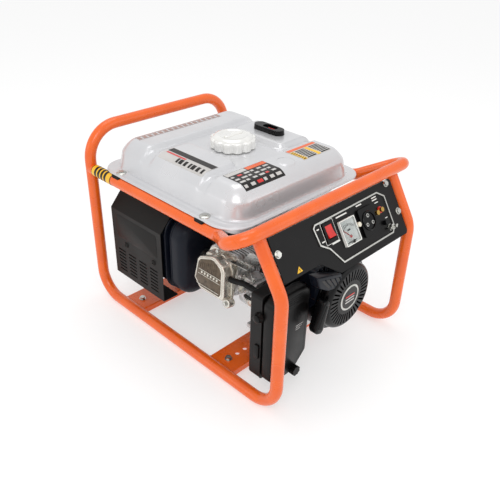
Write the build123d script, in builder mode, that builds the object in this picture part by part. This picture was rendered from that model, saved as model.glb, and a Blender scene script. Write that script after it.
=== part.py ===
"""Open-frame portable petrol generator, about 3 kW, built as separate pieces. Units: mm.

X runs along the control panel, +Y towards the rear handle and +Z up. The origin is on the floor
under the middle of the machine. The control panel and the recoil starter face -Y, and the
cylinder head, the muffler and the air cleaner are on the -X side.
"""
from build123d import *
from math import cos, sin, radians, degrees, atan2
import os

os.makedirs("parts", exist_ok=True)

# ---------------------------------------------------------------- driving dimensions
TUBE_R = 12.7              # 25.4 mm frame tube
TUBE_WALL = 1.8
HOOP_X = 205.0             # centre of each side hoop
FRONT_Y = -293.0           # centre of the front legs
REAR_Y = 293.0             # centre of the rear legs
RAIL_Z = TUBE_R            # bottom rails rest on the floor
HOOP_BEND_R = 60.0
HANDLE_Z = 431.0           # centre of the rear handle
HANDLE_BEND_R = 72.0
SPLICE_Z = 150.0           # weld between rear legs and rear handle
LEG_BEND_Z = 277.0         # where the front legs start to lean back
LEG_SLOPE = 1.6            # rise over run of the leaning part
TOP_RAIL_Z = 340.5
KICK_Y = FRONT_Y + 160.0   # where the side rails kick out and up
BAR_X = 283.0              # corner of the raised front handle
BAR_Y = FRONT_Y + 53.0
BAR_Z = 394.6
KICK_BEND_R = 50.0
BAR_BEND_R = 33.0

PLATE_T = 3.0              # cross plates
PLATE_TOP_Z = 19.0
PLATE_LENGTH = 2 * (HOOP_X - 9.0)
FRONT_PLATE_Y = -125.0
REAR_PLATE_Y = 181.0
PLATE_WIDTH = 72.0

CRANK_X = 15.0             # crankshaft axis
CRANK_Z = 176.0
MOUNT_TOP_Z = 46.0         # top of the rubber engine mounts

TANK_FLANGE_Z = 358.4      # top of the tank's welded flange
TANK_SKIN = 1.2
TANK_MID_Y = 47.0
TANK_TOP_Z = 420.0
CAP_Y = 45.0
CAP_VALLEY_Z = 410.0
TANK_BOLT_X = 194.0
TANK_BOLT_YS = (-80.0, 190.0)

PANEL_LEAN = degrees(atan2(LEG_SLOPE, 1.0))
LEAN_DIR = Vector(0, cos(radians(PANEL_LEAN)), sin(radians(PANEL_LEAN)))
PANEL_NORMAL = Vector(0, -LEAN_DIR.Z, LEAN_DIR.Y)
PANEL_FRONT = 4.0          # panel face in front of the legs' centre plane
RUN = 0.05                 # radial running clearance


def write(piece, name):
    """Label one finished piece and write its STEP file."""
    piece.part.label = name
    export_step(piece.part, f"parts/{name}.step")


def on_panel(x, up, out=0.0):
    """Plane on the leaning panel: x across, up along the lean, out along its normal."""
    origin = Vector(x, FRONT_Y, LEG_BEND_Z) + LEAN_DIR * up + PANEL_NORMAL * (PANEL_FRONT + out)
    return Plane(origin, x_dir=(1, 0, 0), z_dir=PANEL_NORMAL)


def facing_front(x, y, z):
    """Plane at a point whose normal points to the front, -Y."""
    return Plane((x, y, z), x_dir=(1, 0, 0), z_dir=(0, -1, 0))


def tube(points, bends, radius=TUBE_R, wall=TUBE_WALL):
    """Sweep a round tube along straight runs joined by arcs, inside a BuildPart."""
    with BuildLine() as route:
        FilletPolyline(*points, radius=bends)
    start = Plane(route.line @ 0, z_dir=route.line % 0)
    with BuildSketch(start) as section:
        Circle(radius)
        if wall:
            Circle(radius - wall, mode=Mode.SUBTRACT)
    sweep(section.sketch, path=route.line)


def solid_route(points, bends, radius=TUBE_R):
    """The same tube as one solid bar, for saddle cuts."""
    with BuildPart() as bar:
        tube(points, bends, radius, 0)
    return bar.part


# ---------------------------------------------------------------- frame
TOP_RAIL_POINTS = [
    (-HOOP_X, REAR_Y, TOP_RAIL_Z),
    (-HOOP_X, KICK_Y, TOP_RAIL_Z),
    (-BAR_X, BAR_Y, BAR_Z),
    (BAR_X, BAR_Y, BAR_Z),
    (HOOP_X, KICK_Y, TOP_RAIL_Z),
    (HOOP_X, REAR_Y, TOP_RAIL_Z),
]
TOP_RAIL_BENDS = [KICK_BEND_R, BAR_BEND_R, BAR_BEND_R, KICK_BEND_R]
LEG_TOP_RISE = 116.0
HANDLE_POINTS = [
    (-HOOP_X, REAR_Y, SPLICE_Z),
    (-HOOP_X, REAR_Y, HANDLE_Z),
    (HOOP_X, REAR_Y, HANDLE_Z),
    (HOOP_X, REAR_Y, SPLICE_Z),
]
top_rail_bar = solid_route(TOP_RAIL_POINTS, TOP_RAIL_BENDS)
rear_handle_bar = solid_route(HANDLE_POINTS, [HANDLE_BEND_R] * 2)


def side_hoop(side):
    """Rear leg, bottom rail, front leg and its leaning top, bent from one tube."""
    x = side * HOOP_X
    with BuildPart() as hoop:
        tube(
            [
                (x, REAR_Y, SPLICE_Z),
                (x, REAR_Y, RAIL_Z),
                (x, FRONT_Y, RAIL_Z),
                (x, FRONT_Y, LEG_BEND_Z),
                (x, FRONT_Y + LEG_TOP_RISE / LEG_SLOPE, LEG_BEND_Z + LEG_TOP_RISE),
            ],
            [HOOP_BEND_R, HOOP_BEND_R, HOOP_BEND_R],
        )
        add(top_rail_bar, mode=Mode.SUBTRACT)
        # the saddle cut can leave a chip beyond the handle; only the tube itself is kept
        chips = hoop.part.solids().sort_by(SortBy.VOLUME)[:-1]
        if chips:
            add(chips, mode=Mode.SUBTRACT)
    return hoop


left_side_hoop = side_hoop(-1)
write(left_side_hoop, "left_side_hoop")
right_side_hoop = side_hoop(1)
write(right_side_hoop, "right_side_hoop")

with BuildPart() as rear_handle:
    tube(HANDLE_POINTS, [HANDLE_BEND_R] * 2)
write(rear_handle, "rear_handle")

TAB_MID_X = TANK_BOLT_X - 6.0
with BuildPart() as top_rail:
    tube(TOP_RAIL_POINTS, TOP_RAIL_BENDS)
    add(rear_handle_bar, mode=Mode.SUBTRACT)
    with BuildSketch(Plane.XY.offset(TOP_RAIL_Z + 6.5)):
        for side in (-1, 1):
            with Locations(*[(side * TAB_MID_X, y) for y in TANK_BOLT_YS]):
                Rectangle(32, 30)
    extrude(amount=3)
    with BuildSketch(Plane.XY.offset(TOP_RAIL_Z)):
        for side in (-1, 1):
            with Locations(*[(side * TANK_BOLT_X, y) for y in TANK_BOLT_YS]):
                Circle(3.6)
    extrude(amount=20, mode=Mode.SUBTRACT)
    rail_scraps = top_rail.part.solids().sort_by(SortBy.VOLUME)[:-1]
    if rail_scraps:
        add(rail_scraps, mode=Mode.SUBTRACT)
write(top_rail, "top_rail_and_front_handle")
TAB_TOP_Z = TOP_RAIL_Z + 9.5


def cross_plate(mid_y, hole_xs, gusset):
    """Pressed channel between the bottom rails, with turned-down flanges and bolt holes."""
    with BuildPart() as plate:
        with BuildSketch(Plane.YZ.offset(-PLATE_LENGTH / 2)):
            with Locations((mid_y, PLATE_TOP_Z - 7)):
                Rectangle(PLATE_WIDTH, 14)
            with Locations((mid_y, PLATE_TOP_Z - 7 - PLATE_T)):
                Rectangle(PLATE_WIDTH - 2 * PLATE_T, 14, mode=Mode.SUBTRACT)
        extrude(amount=PLATE_LENGTH)
        outer = plate.edges().filter_by(Axis.X).group_by(Axis.Z)[-1]
        fillet(outer, 2.5)
        for x in hole_xs:
            with Locations((x, mid_y, PLATE_TOP_Z)):
                Hole(5.0)
        for side in (-1, 1):
            with Locations((side * FOOT_X, mid_y, PLATE_TOP_Z)):
                Hole(4.2)
            with BuildSketch(Plane.XZ.offset(-(mid_y + PLATE_WIDTH))):
                with Locations((side * HOOP_X, RAIL_Z)):
                    Circle(TUBE_R)
            extrude(amount=2 * PLATE_WIDTH, mode=Mode.SUBTRACT)
        if gusset:
            with BuildSketch(Plane.XZ.offset(-(mid_y - PLATE_WIDTH / 2 + PLATE_T))):
                Polygon((-142, PLATE_TOP_Z), (-112, PLATE_TOP_Z), (-142, PLATE_TOP_Z + 40), align=None)
            extrude(amount=PLATE_T)
    return plate


FOOT_X = 172.0
ENGINE_MOUNT_XS = (-66.0, 110.0)
ALTERNATOR_MOUNT_XS = (-40.0, 70.0)
FRONT_SPARE_XS = (-145.0, -122.0)
front_cross_plate = cross_plate(FRONT_PLATE_Y, ENGINE_MOUNT_XS + FRONT_SPARE_XS, False)
write(front_cross_plate, "front_cross_plate")
rear_cross_plate = cross_plate(REAR_PLATE_Y, ALTERNATOR_MOUNT_XS, True)
write(rear_cross_plate, "rear_cross_plate")

with BuildPart() as rubber_feet:
    for y in (FRONT_PLATE_Y, REAR_PLATE_Y):
        for side in (-1, 1):
            with BuildSketch():
                with Locations((side * FOOT_X, y)):
                    Circle(12)
            extrude(amount=PLATE_TOP_Z - PLATE_T, taper=4)
            with BuildSketch(Plane.XY.offset(6)):
                with Locations((side * FOOT_X, y)):
                    Circle(4.2)
            extrude(amount=PLATE_TOP_Z, mode=Mode.SUBTRACT)
write(rubber_feet, "rubber_feet")


def hex_bolt(seat, shank, radius, head_r):
    """Flanged hexagon bolt whose washer face lies on the seat plane, its shank behind it."""
    with BuildSketch(seat) as washer:
        Circle(head_r)
    extrude(washer.sketch, amount=radius * 0.4)
    with BuildSketch(seat) as hexagon:
        RegularPolygon(head_r * 0.8, 6)
    extrude(hexagon.sketch, amount=radius * 1.6)
    with BuildSketch(seat) as body:
        Circle(radius)
    extrude(body.sketch, amount=-shank)


MOUNT_SPOTS = [(x, FRONT_PLATE_Y) for x in ENGINE_MOUNT_XS]
MOUNT_SPOTS += [(x, REAR_PLATE_Y) for x in ALTERNATOR_MOUNT_XS]
MOUNT_STUD_R = 4.0
CASE_FOOT_T = 10.0
END_FOOT_T = 8.0
with BuildPart() as engine_mounts:
    for x, y in MOUNT_SPOTS:
        with BuildSketch(Plane.XY.offset(PLATE_TOP_Z)):
            with Locations((x, y)):
                Circle(17)
        extrude(amount=MOUNT_TOP_Z - PLATE_TOP_Z)
        with BuildSketch(Plane.XY.offset(PLATE_TOP_Z)):
            with Locations((x, y)):
                Circle(MOUNT_STUD_R)
        extrude(amount=MOUNT_TOP_Z - PLATE_TOP_Z, mode=Mode.SUBTRACT)
    waists = engine_mounts.edges().filter_by(GeomType.CIRCLE).filter_by(lambda e: e.radius > 10)
    chamfer(waists, 3)
write(engine_mounts, "engine_mounts")

with BuildPart() as frame_bolts:
    for y in (FRONT_PLATE_Y, REAR_PLATE_Y):
        for side in (-1, 1):
            hex_bolt(Plane((side * FOOT_X, y, PLATE_TOP_Z)), 10, MOUNT_STUD_R, 8)
    for x, y in MOUNT_SPOTS:
        seat_z = MOUNT_TOP_Z + (CASE_FOOT_T if y == FRONT_PLATE_Y else END_FOOT_T)
        hex_bolt(Plane((x, y, seat_z)), seat_z - PLATE_TOP_Z + 12, MOUNT_STUD_R, 8)
write(frame_bolts, "frame_bolts")

# ---------------------------------------------------------------- fuel tank
FLANGE_LENGTH = 426.0
FLANGE_WIDTH = 414.0
DOME_WIDTH = 362.0
DOME_LENGTH = 398.0
TUB_DEPTH = 44.0


def tank_form(top_inset):
    """Closed outer form of the upper shell, moved inwards by top_inset for its cavity."""
    with BuildPart() as form:
        with BuildSketch(Plane.XY.offset(TANK_FLANGE_Z - TANK_SKIN)):
            with Locations((0, TANK_MID_Y)):
                RectangleRounded(DOME_WIDTH - 2 * top_inset, DOME_LENGTH - 2 * top_inset, 46)
        extrude(amount=38 + TANK_SKIN - top_inset, taper=14)
        with BuildSketch(Plane.XY.offset(TANK_FLANGE_Z + 38 - top_inset)):
            with Locations((0, TANK_MID_Y)):
                RectangleRounded(DOME_WIDTH - 20 - 2 * top_inset, DOME_LENGTH - 20 - 2 * top_inset, 36)
        extrude(amount=TANK_TOP_Z - TANK_FLANGE_Z - 38, taper=56)
        with BuildSketch(Plane.XY.offset(CAP_VALLEY_Z - top_inset)):
            with Locations((0, CAP_Y)):
                Circle(68 + top_inset)
        extrude(amount=30, taper=-30, mode=Mode.SUBTRACT)
    return form


tank_outside = tank_form(0)
tank_inside = tank_form(TANK_SKIN)
NECK_R = 29.0
NECK_TOP_Z = CAP_VALLEY_Z + 18.0
with BuildPart() as tank_upper_shell:
    add(tank_outside.part)
    with BuildSketch(Plane.XY.offset(TANK_FLANGE_Z - TANK_SKIN)):
        with Locations((0, TANK_MID_Y)):
            RectangleRounded(FLANGE_WIDTH, FLANGE_LENGTH, 52)
    extrude(amount=TANK_SKIN)
    add(tank_inside.part, mode=Mode.SUBTRACT)
    # rolled filler neck, brazed into the middle of the valley
    with BuildSketch(Plane.XY.offset(CAP_VALLEY_Z - 14)):
        with Locations((0, CAP_Y)):
            Circle(NECK_R)
    extrude(amount=NECK_TOP_Z - CAP_VALLEY_Z + 14)
    with Locations((0, CAP_Y, NECK_TOP_Z)):
        Hole(NECK_R - 2.5, depth=60)
    with Locations((112, 43, TANK_TOP_Z)):
        Hole(12, depth=30)
    for side in (-1, 1):
        with Locations(*[(side * TANK_BOLT_X, y, TANK_FLANGE_Z) for y in TANK_BOLT_YS]):
            Hole(3.6)
write(tank_upper_shell, "tank_upper_shell")



def tub_form(inset):
    """Closed form of the lower shell's tub, moved inwards by inset."""
    with BuildPart() as form:
        with BuildSketch(Plane.XY.offset(TANK_FLANGE_Z - TANK_SKIN)):
            with Locations((0, TANK_MID_Y)):
                RectangleRounded(340 - 2 * inset, 376 - 2 * inset, 44 - inset)
        extrude(amount=inset - TUB_DEPTH, taper=18)
        fillet(form.faces().sort_by(Axis.Z)[0].edges(), 12 - inset)
    return form


tub_outside = tub_form(0)
tub_inside = tub_form(TANK_SKIN)
with BuildPart() as tank_lower_shell:
    add(tub_outside.part)
    with BuildSketch(Plane.XY.offset(TANK_FLANGE_Z - TANK_SKIN)):
        with Locations((0, TANK_MID_Y)):
            RectangleRounded(FLANGE_WIDTH, FLANGE_LENGTH, 52)
    extrude(amount=-TANK_SKIN)
    add(tub_inside.part, mode=Mode.SUBTRACT)
    for side in (-1, 1):
        with Locations(*[(side * TANK_BOLT_X, y, TANK_FLANGE_Z) for y in TANK_BOLT_YS]):
            Hole(3.6)
write(tank_lower_shell, "tank_lower_shell")

PAD_TOP_Z = TANK_FLANGE_Z - 2 * TANK_SKIN
with BuildPart() as tank_pads:
    for side in (-1, 1):
        for y in TANK_BOLT_YS:
            with BuildSketch(Plane.XY.offset(TAB_TOP_Z)):
                with Locations((side * (TANK_BOLT_X + 3.5), y)):
                    RectangleRounded(30, 26, 4)
                with Locations((side * TANK_BOLT_X, y)):
                    Circle(3.6, mode=Mode.SUBTRACT)
            extrude(amount=PAD_TOP_Z - TAB_TOP_Z)
    add(top_rail_bar, mode=Mode.SUBTRACT)
write(tank_pads, "tank_pads")

CAP_R = 50.0
CAP_BASE_Z = CAP_VALLEY_Z + 1.5
CAP_TOP_Z = 441.0
with BuildPart() as fuel_cap:
    with BuildSketch(Plane.XY.offset(CAP_BASE_Z)):
        with Locations((0, CAP_Y)):
            Circle(CAP_R)
    extrude(amount=5)
    with BuildSketch(Plane.XY.offset(CAP_BASE_Z + 5)):
        with Locations((0, CAP_Y)):
            Circle(CAP_R - 1.5)
            with PolarLocations(CAP_R + 3.0, 12):
                Circle(7.5, mode=Mode.SUBTRACT)
    extrude(amount=CAP_TOP_Z - CAP_BASE_Z - 5, taper=7)
    with BuildSketch(Plane.XY.offset(CAP_BASE_Z)):
        with Locations((0, CAP_Y)):
            Circle(NECK_R + 0.4)
    extrude(amount=NECK_TOP_Z - CAP_BASE_Z + 0.5, mode=Mode.SUBTRACT)
write(fuel_cap, "fuel_cap")

GAUGE_X = 112.0
GAUGE_Y = 43.0
GAUGE_SEAT_Z = TANK_TOP_Z + 0.2
NEEDLE_Z = GAUGE_SEAT_Z + 7.0
with BuildPart() as gauge_housing:
    with BuildSketch(Plane.XY.offset(GAUGE_SEAT_Z)):
        with Locations((GAUGE_X, GAUGE_Y)):
            SlotOverall(84, 30, rotation=90)
    extrude(amount=11, taper=5)
    with BuildSketch(Plane.XY.offset(GAUGE_SEAT_Z + 6)):
        with Locations((GAUGE_X, GAUGE_Y - 4)):
            SlotOverall(40, 20, rotation=90)
    extrude(amount=8, mode=Mode.SUBTRACT)
    with BuildSketch(Plane.XY.offset(GAUGE_SEAT_Z - 30)):
        with Locations((GAUGE_X, GAUGE_Y)):
            Circle(9)
    extrude(amount=30)
    with BuildSketch(Plane.XY.offset(GAUGE_SEAT_Z - 31)):
        with Locations((GAUGE_X, GAUGE_Y)):
            Rectangle(6, 30)
    extrude(amount=14, mode=Mode.SUBTRACT)
    with Locations(Plane((GAUGE_X, GAUGE_Y, GAUGE_SEAT_Z - 24), x_dir=(0, 1, 0), z_dir=(1, 0, 0))):
        Hole(1.5)
    with Locations((GAUGE_X, GAUGE_Y - 17, GAUGE_SEAT_Z + 6)):
        Hole(1.0 + RUN, depth=4)
write(gauge_housing, "gauge_housing")

with BuildPart() as gauge_needle:
    with BuildSketch(Plane.XY.offset(NEEDLE_Z)):
        with Locations((GAUGE_X, GAUGE_Y - 17)):
            Circle(2.2)
        with Locations((GAUGE_X, GAUGE_Y - 7)):
            Rectangle(1.2, 20)
    extrude(amount=0.8)
    with BuildSketch(Plane.XY.offset(GAUGE_SEAT_Z + 3)):
        with Locations((GAUGE_X, GAUGE_Y - 17)):
            Circle(1.0)
    extrude(amount=NEEDLE_Z - GAUGE_SEAT_Z - 3)
write(gauge_needle, "gauge_needle")

FLOAT_PIVOT_Z = GAUGE_SEAT_Z - 24.0
FLOAT_ARM = 95.0
FLOAT_DROP = 22.0
with BuildPart() as gauge_float:
    with BuildLine() as float_wire:
        FilletPolyline(
            (GAUGE_X, GAUGE_Y, FLOAT_PIVOT_Z),
            (GAUGE_X, GAUGE_Y + 40, FLOAT_PIVOT_Z - 6),
            (GAUGE_X, GAUGE_Y + FLOAT_ARM, FLOAT_PIVOT_Z - FLOAT_DROP),
            radius=12,
        )
    with BuildSketch(Plane(float_wire.line @ 0, z_dir=float_wire.line % 0)):
        Circle(1.2)
    sweep(path=float_wire.line)
    with Locations((GAUGE_X, GAUGE_Y + FLOAT_ARM, FLOAT_PIVOT_Z - FLOAT_DROP)):
        Cylinder(14, 30, rotation=(0, 90, 0))
    with Locations((GAUGE_X, GAUGE_Y, FLOAT_PIVOT_Z)):
        Cylinder(1.45, 8, rotation=(0, 90, 0))
        Cylinder(2.4, 3, rotation=(0, 90, 0))
write(gauge_float, "gauge_float")

# ---------------------------------------------------------------- engine block
CASE_FRONT_Y = -188.0
CASE_REAR_Y = -30.0
CASE_LEFT_X = -48.0
CASE_RIGHT_X = 92.0
CASE_TOP_Z = 246.0
CASE_WALL = 6.0
CYL_Y = -73.0
CYL_TILT = 12.0            # cylinder axis above the horizontal
BORE_R = 34.0
CYL_AXIS = Vector(-cos(radians(CYL_TILT)), 0, sin(radians(CYL_TILT)))
CYL_ORIGIN = Vector(CRANK_X, CYL_Y, CRANK_Z)
SHAFT_R = 12.5


def on_cylinder(distance):
    """Plane square to the cylinder axis, a distance out from the crankshaft."""
    return Plane(CYL_ORIGIN + CYL_AXIS * distance, x_dir=(0, -1, 0), z_dir=CYL_AXIS)


BARREL_START = 52.0
DECK = 118.0
with BuildPart() as crankcase:
    with BuildSketch(Plane.XZ.offset(-CASE_REAR_Y)):
        with Locations(((CASE_LEFT_X + CASE_RIGHT_X) / 2, (MOUNT_TOP_Z + CASE_TOP_Z) / 2)):
            RectangleRounded(CASE_RIGHT_X - CASE_LEFT_X, CASE_TOP_Z - MOUNT_TOP_Z, 32)
    extrude(amount=CASE_REAR_Y - CASE_FRONT_Y)
    foot_span = ENGINE_MOUNT_XS[1] - ENGINE_MOUNT_XS[0] + 44
    with Locations((sum(ENGINE_MOUNT_XS) / 2, FRONT_PLATE_Y, MOUNT_TOP_Z + CASE_FOOT_T / 2)):
        Box(foot_span, 56, CASE_FOOT_T)
    with BuildSketch(on_cylinder(BARREL_START)):
        Circle(BORE_R + 7)
    extrude(amount=DECK - BARREL_START)
    for index in range(6):
        with BuildSketch(on_cylinder(BARREL_START + 14 + index * 9)):
            RectangleRounded(84, 92, 14)
        extrude(amount=2.6)
    with BuildSketch(on_cylinder(DECK - 8)):
        RectangleRounded(84, 90, 14)
    extrude(amount=8)
    # hollow: crank chamber, bore, shaft tunnels, oil filler, mount holes
    with BuildSketch(Plane.XZ.offset(-(CASE_REAR_Y - 12))):
        with Locations(((CASE_LEFT_X + CASE_RIGHT_X) / 2, (MOUNT_TOP_Z + CASE_TOP_Z) / 2)):
            RectangleRounded(
                CASE_RIGHT_X - CASE_LEFT_X - 2 * CASE_WALL,
                CASE_TOP_Z - MOUNT_TOP_Z - 2 * CASE_WALL - 12,
                26,
            )
    extrude(amount=CASE_REAR_Y - CASE_FRONT_Y - 24, mode=Mode.SUBTRACT)
    with BuildSketch(on_cylinder(20)):
        Circle(BORE_R)
    extrude(amount=DECK, mode=Mode.SUBTRACT)
    with BuildSketch(Plane.XZ.offset(-CASE_REAR_Y)):
        with Locations((CRANK_X, CRANK_Z)):
            Circle(SHAFT_R + RUN)
    extrude(amount=CASE_REAR_Y - CASE_FRONT_Y, mode=Mode.SUBTRACT)
    for x in ENGINE_MOUNT_XS:
        with Locations((x, FRONT_PLATE_Y, MOUNT_TOP_Z + CASE_FOOT_T)):
            Hole(MOUNT_STUD_R, depth=12)
    with BuildSketch(Plane(origin=(CASE_RIGHT_X, -110, 92), z_dir=(1, 0, 0.45))):
        Circle(15)
    extrude(amount=20)
    with BuildSketch(Plane(origin=(CASE_RIGHT_X, -110, 92), z_dir=(1, 0, 0.45)).offset(20)):
        Circle(9 + RUN)
    extrude(amount=-34, mode=Mode.SUBTRACT)
write(crankcase, "crankcase")

DIPSTICK_PLANE = Plane(origin=(CASE_RIGHT_X, -110, 92), z_dir=(1, 0, 0.45)).offset(20.3)
with BuildPart() as oil_dipstick:
    with BuildSketch(DIPSTICK_PLANE):
        Circle(13)
        with PolarLocations(15, 10):
            Circle(3, mode=Mode.SUBTRACT)
    extrude(amount=9)
    with BuildSketch(DIPSTICK_PLANE.offset(9)):
        Rectangle(20, 5)
    extrude(amount=5)
    with BuildSketch(DIPSTICK_PLANE):
        Circle(9)
    extrude(amount=-14)
    with BuildSketch(DIPSTICK_PLANE.offset(-14)):
        Circle(2)
    extrude(amount=-34)
write(oil_dipstick, "oil_dipstick")

HEAD_DEPTH = 40.0
with BuildPart() as cylinder_head:
    with BuildSketch(on_cylinder(DECK)):
        RectangleRounded(78, 80, 12)
    extrude(amount=HEAD_DEPTH)
    for index in range(4):
        with BuildSketch(on_cylinder(DECK + 4 + index * 9)):
            RectangleRounded(84, 96, 12)
        extrude(amount=3)
    with BuildSketch(on_cylinder(DECK + HEAD_DEPTH - 3)):
        RectangleRounded(88, 92, 16)
    extrude(amount=5)
    with BuildSketch(on_cylinder(DECK)):
        Circle(BORE_R)
    extrude(amount=12, mode=Mode.SUBTRACT)
    with BuildSketch(on_cylinder(DECK + HEAD_DEPTH + 2)):
        RectangleRounded(66, 66, 12)
    extrude(amount=-16, mode=Mode.SUBTRACT)
    # inlet port face towards the carburettor, exhaust port face towards the muffler
    for y_side in (-1, 1):
        port = Plane(
            CYL_ORIGIN + CYL_AXIS * (DECK + 20) + Vector(0, y_side * 40, 0),
            x_dir=CYL_AXIS,
            z_dir=(0, y_side, 0),
        )
        with BuildSketch(port):
            RectangleRounded(30, 44, 6)
        extrude(amount=15)
        with BuildSketch(port.offset(15)):
            Circle(11)
        extrude(amount=-30, mode=Mode.SUBTRACT)
write(cylinder_head, "cylinder_head")
PORT_OUT = 55.0
HEAD_FACE = DECK + HEAD_DEPTH + 2

with BuildPart() as valve_cover:
    with BuildSketch(on_cylinder(HEAD_FACE)):
        RectangleRounded(82, 88, 16)
    extrude(amount=5)
    with BuildSketch(on_cylinder(HEAD_FACE + 5)):
        RectangleRounded(74, 80, 14)
    extrude(amount=19, taper=8)
    rim = valve_cover.faces().sort_by(Axis(tuple(CYL_ORIGIN), tuple(CYL_AXIS)))[-1]
    fillet(rim.edges(), 5)
    with BuildSketch(on_cylinder(HEAD_FACE)):
        RectangleRounded(68, 72, 11)
    extrude(amount=20, taper=8, mode=Mode.SUBTRACT)
    with BuildSketch(on_cylinder(HEAD_FACE)):
        with Locations((0, -46)):
            Circle(9)
    extrude(amount=14)
write(valve_cover, "valve_cover")

PISTON_AT = 77.0
with BuildPart() as piston:
    with BuildSketch(on_cylinder(PISTON_AT)):
        Circle(BORE_R - RUN)
    extrude(amount=40)
    with BuildSketch(on_cylinder(PISTON_AT)):
        Circle(BORE_R - 5)
    extrude(amount=33, mode=Mode.SUBTRACT)
    for ring in (3, 8, 13):
        with BuildSketch(on_cylinder(PISTON_AT + 40 - ring - 1.5)):
            Circle(BORE_R)
            Circle(BORE_R - 2, mode=Mode.SUBTRACT)
        extrude(amount=1.5, mode=Mode.SUBTRACT)
write(piston, "piston")

PLUG_DIR = Vector(CYL_AXIS.X * 0.35, 0.0, 0.94)
PLUG_AT = CYL_ORIGIN + CYL_AXIS * (DECK + 22) + Vector(0, 0, 50.6)
plug_plane = Plane(PLUG_AT, z_dir=PLUG_DIR)
with BuildPart() as spark_plug:
    with BuildSketch(plug_plane):
        Circle(6)
    extrude(amount=2)
    with BuildSketch(plug_plane.offset(2)):
        RegularPolygon(9, 6)
    extrude(amount=7)
    with BuildSketch(plug_plane.offset(9)):
        Circle(4.5)
    extrude(amount=12, taper=4)
write(spark_plug, "spark_plug")

# ---------------------------------------------------------------- rotating parts
FLYWHEEL_Y = -250.0
FLYWHEEL_W = 42.0
FLYWHEEL_R = 74.0
STATOR_Y0 = 20.0
STATOR_LENGTH = 95.0
ROTOR_R = 42.0
SHAFT_START_Y = -262.0
SHAFT_END_Y = 178.0
with BuildPart() as crankshaft:
    with BuildSketch(facing_front(CRANK_X, SHAFT_END_Y, CRANK_Z)):
        Circle(SHAFT_R)
    extrude(amount=SHAFT_END_Y - SHAFT_START_Y)
    for web_y in (CYL_Y - 24, CYL_Y + 12):
        with BuildSketch(facing_front(CRANK_X, web_y + 12, CRANK_Z)):
            Circle(27)
            with Locations((-14, 0)):
                Circle(24)
        extrude(amount=12)
    with BuildSketch(facing_front(CRANK_X - 27, CYL_Y + 12, CRANK_Z)):
        Circle(9)
    extrude(amount=24)
    with BuildSketch(facing_front(CRANK_X, CYL_Y + 12, CRANK_Z)):
        with Locations((3, 0)):
            Circle(17)
    extrude(amount=24, mode=Mode.SUBTRACT)
write(crankshaft, "crankshaft")

with BuildPart() as flywheel:
    with BuildSketch(facing_front(CRANK_X, FLYWHEEL_Y + FLYWHEEL_W, CRANK_Z)):
        Circle(FLYWHEEL_R)
        Circle(SHAFT_R, mode=Mode.SUBTRACT)
    extrude(amount=16)
    with BuildSketch(facing_front(CRANK_X, FLYWHEEL_Y + FLYWHEEL_W - 16, CRANK_Z)):
        Circle(30)
        Circle(SHAFT_R, mode=Mode.SUBTRACT)
        with PolarLocations(52, 16):
            Rectangle(36, 3)
    extrude(amount=FLYWHEEL_W - 16)
write(flywheel, "flywheel")

with BuildPart() as rotor:
    with BuildSketch(facing_front(CRANK_X, STATOR_Y0 + STATOR_LENGTH, CRANK_Z)):
        Circle(ROTOR_R)
        for angle in (90, 270):
            with PolarLocations(ROTOR_R, 1, start_angle=angle - 90):
                Rectangle(28, 22, mode=Mode.SUBTRACT)
        Circle(SHAFT_R, mode=Mode.SUBTRACT)
    extrude(amount=STATOR_LENGTH)
    with BuildSketch(facing_front(CRANK_X, STATOR_Y0 + STATOR_LENGTH + 40, CRANK_Z)):
        Circle(20)
        Circle(SHAFT_R, mode=Mode.SUBTRACT)
    extrude(amount=40)
write(rotor, "rotor")

# ---------------------------------------------------------------- alternator
ALT_R = 82.0
with BuildPart() as alternator_bell:
    with BuildSketch(facing_front(CRANK_X, STATOR_Y0, CRANK_Z)):
        Circle(ALT_R)
        with PolarLocations(60, 8):
            SlotOverall(26, 12, rotation=90, mode=Mode.SUBTRACT)
    extrude(amount=6)
    with BuildSketch(facing_front(CRANK_X, STATOR_Y0, CRANK_Z)):
        Circle(ALT_R)
        Circle(ALT_R - 6, mode=Mode.SUBTRACT)
    extrude(amount=STATOR_Y0 - CASE_REAR_Y)
    with BuildSketch(facing_front(CRANK_X, CASE_REAR_Y + 6, CRANK_Z)):
        Circle(ALT_R)
        Circle(28, mode=Mode.SUBTRACT)
    extrude(amount=6)
    with BuildSketch(facing_front(CRANK_X, STATOR_Y0, CRANK_Z)):
        Circle(ROTOR_R + 2)
    extrude(amount=6, mode=Mode.SUBTRACT)
write(alternator_bell, "alternator_bell")

with BuildPart() as stator:
    with BuildSketch(facing_front(CRANK_X, STATOR_Y0 + STATOR_LENGTH, CRANK_Z)):
        Circle(ALT_R - 2)
        with PolarLocations(ALT_R, 4, start_angle=45):
            Rectangle(12, 26, mode=Mode.SUBTRACT)
        Circle(ROTOR_R + 0.6, mode=Mode.SUBTRACT)
        with PolarLocations(ROTOR_R + 8, 24):
            Rectangle(12, 4, mode=Mode.SUBTRACT)
    extrude(amount=STATOR_LENGTH)
write(stator, "stator")

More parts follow.
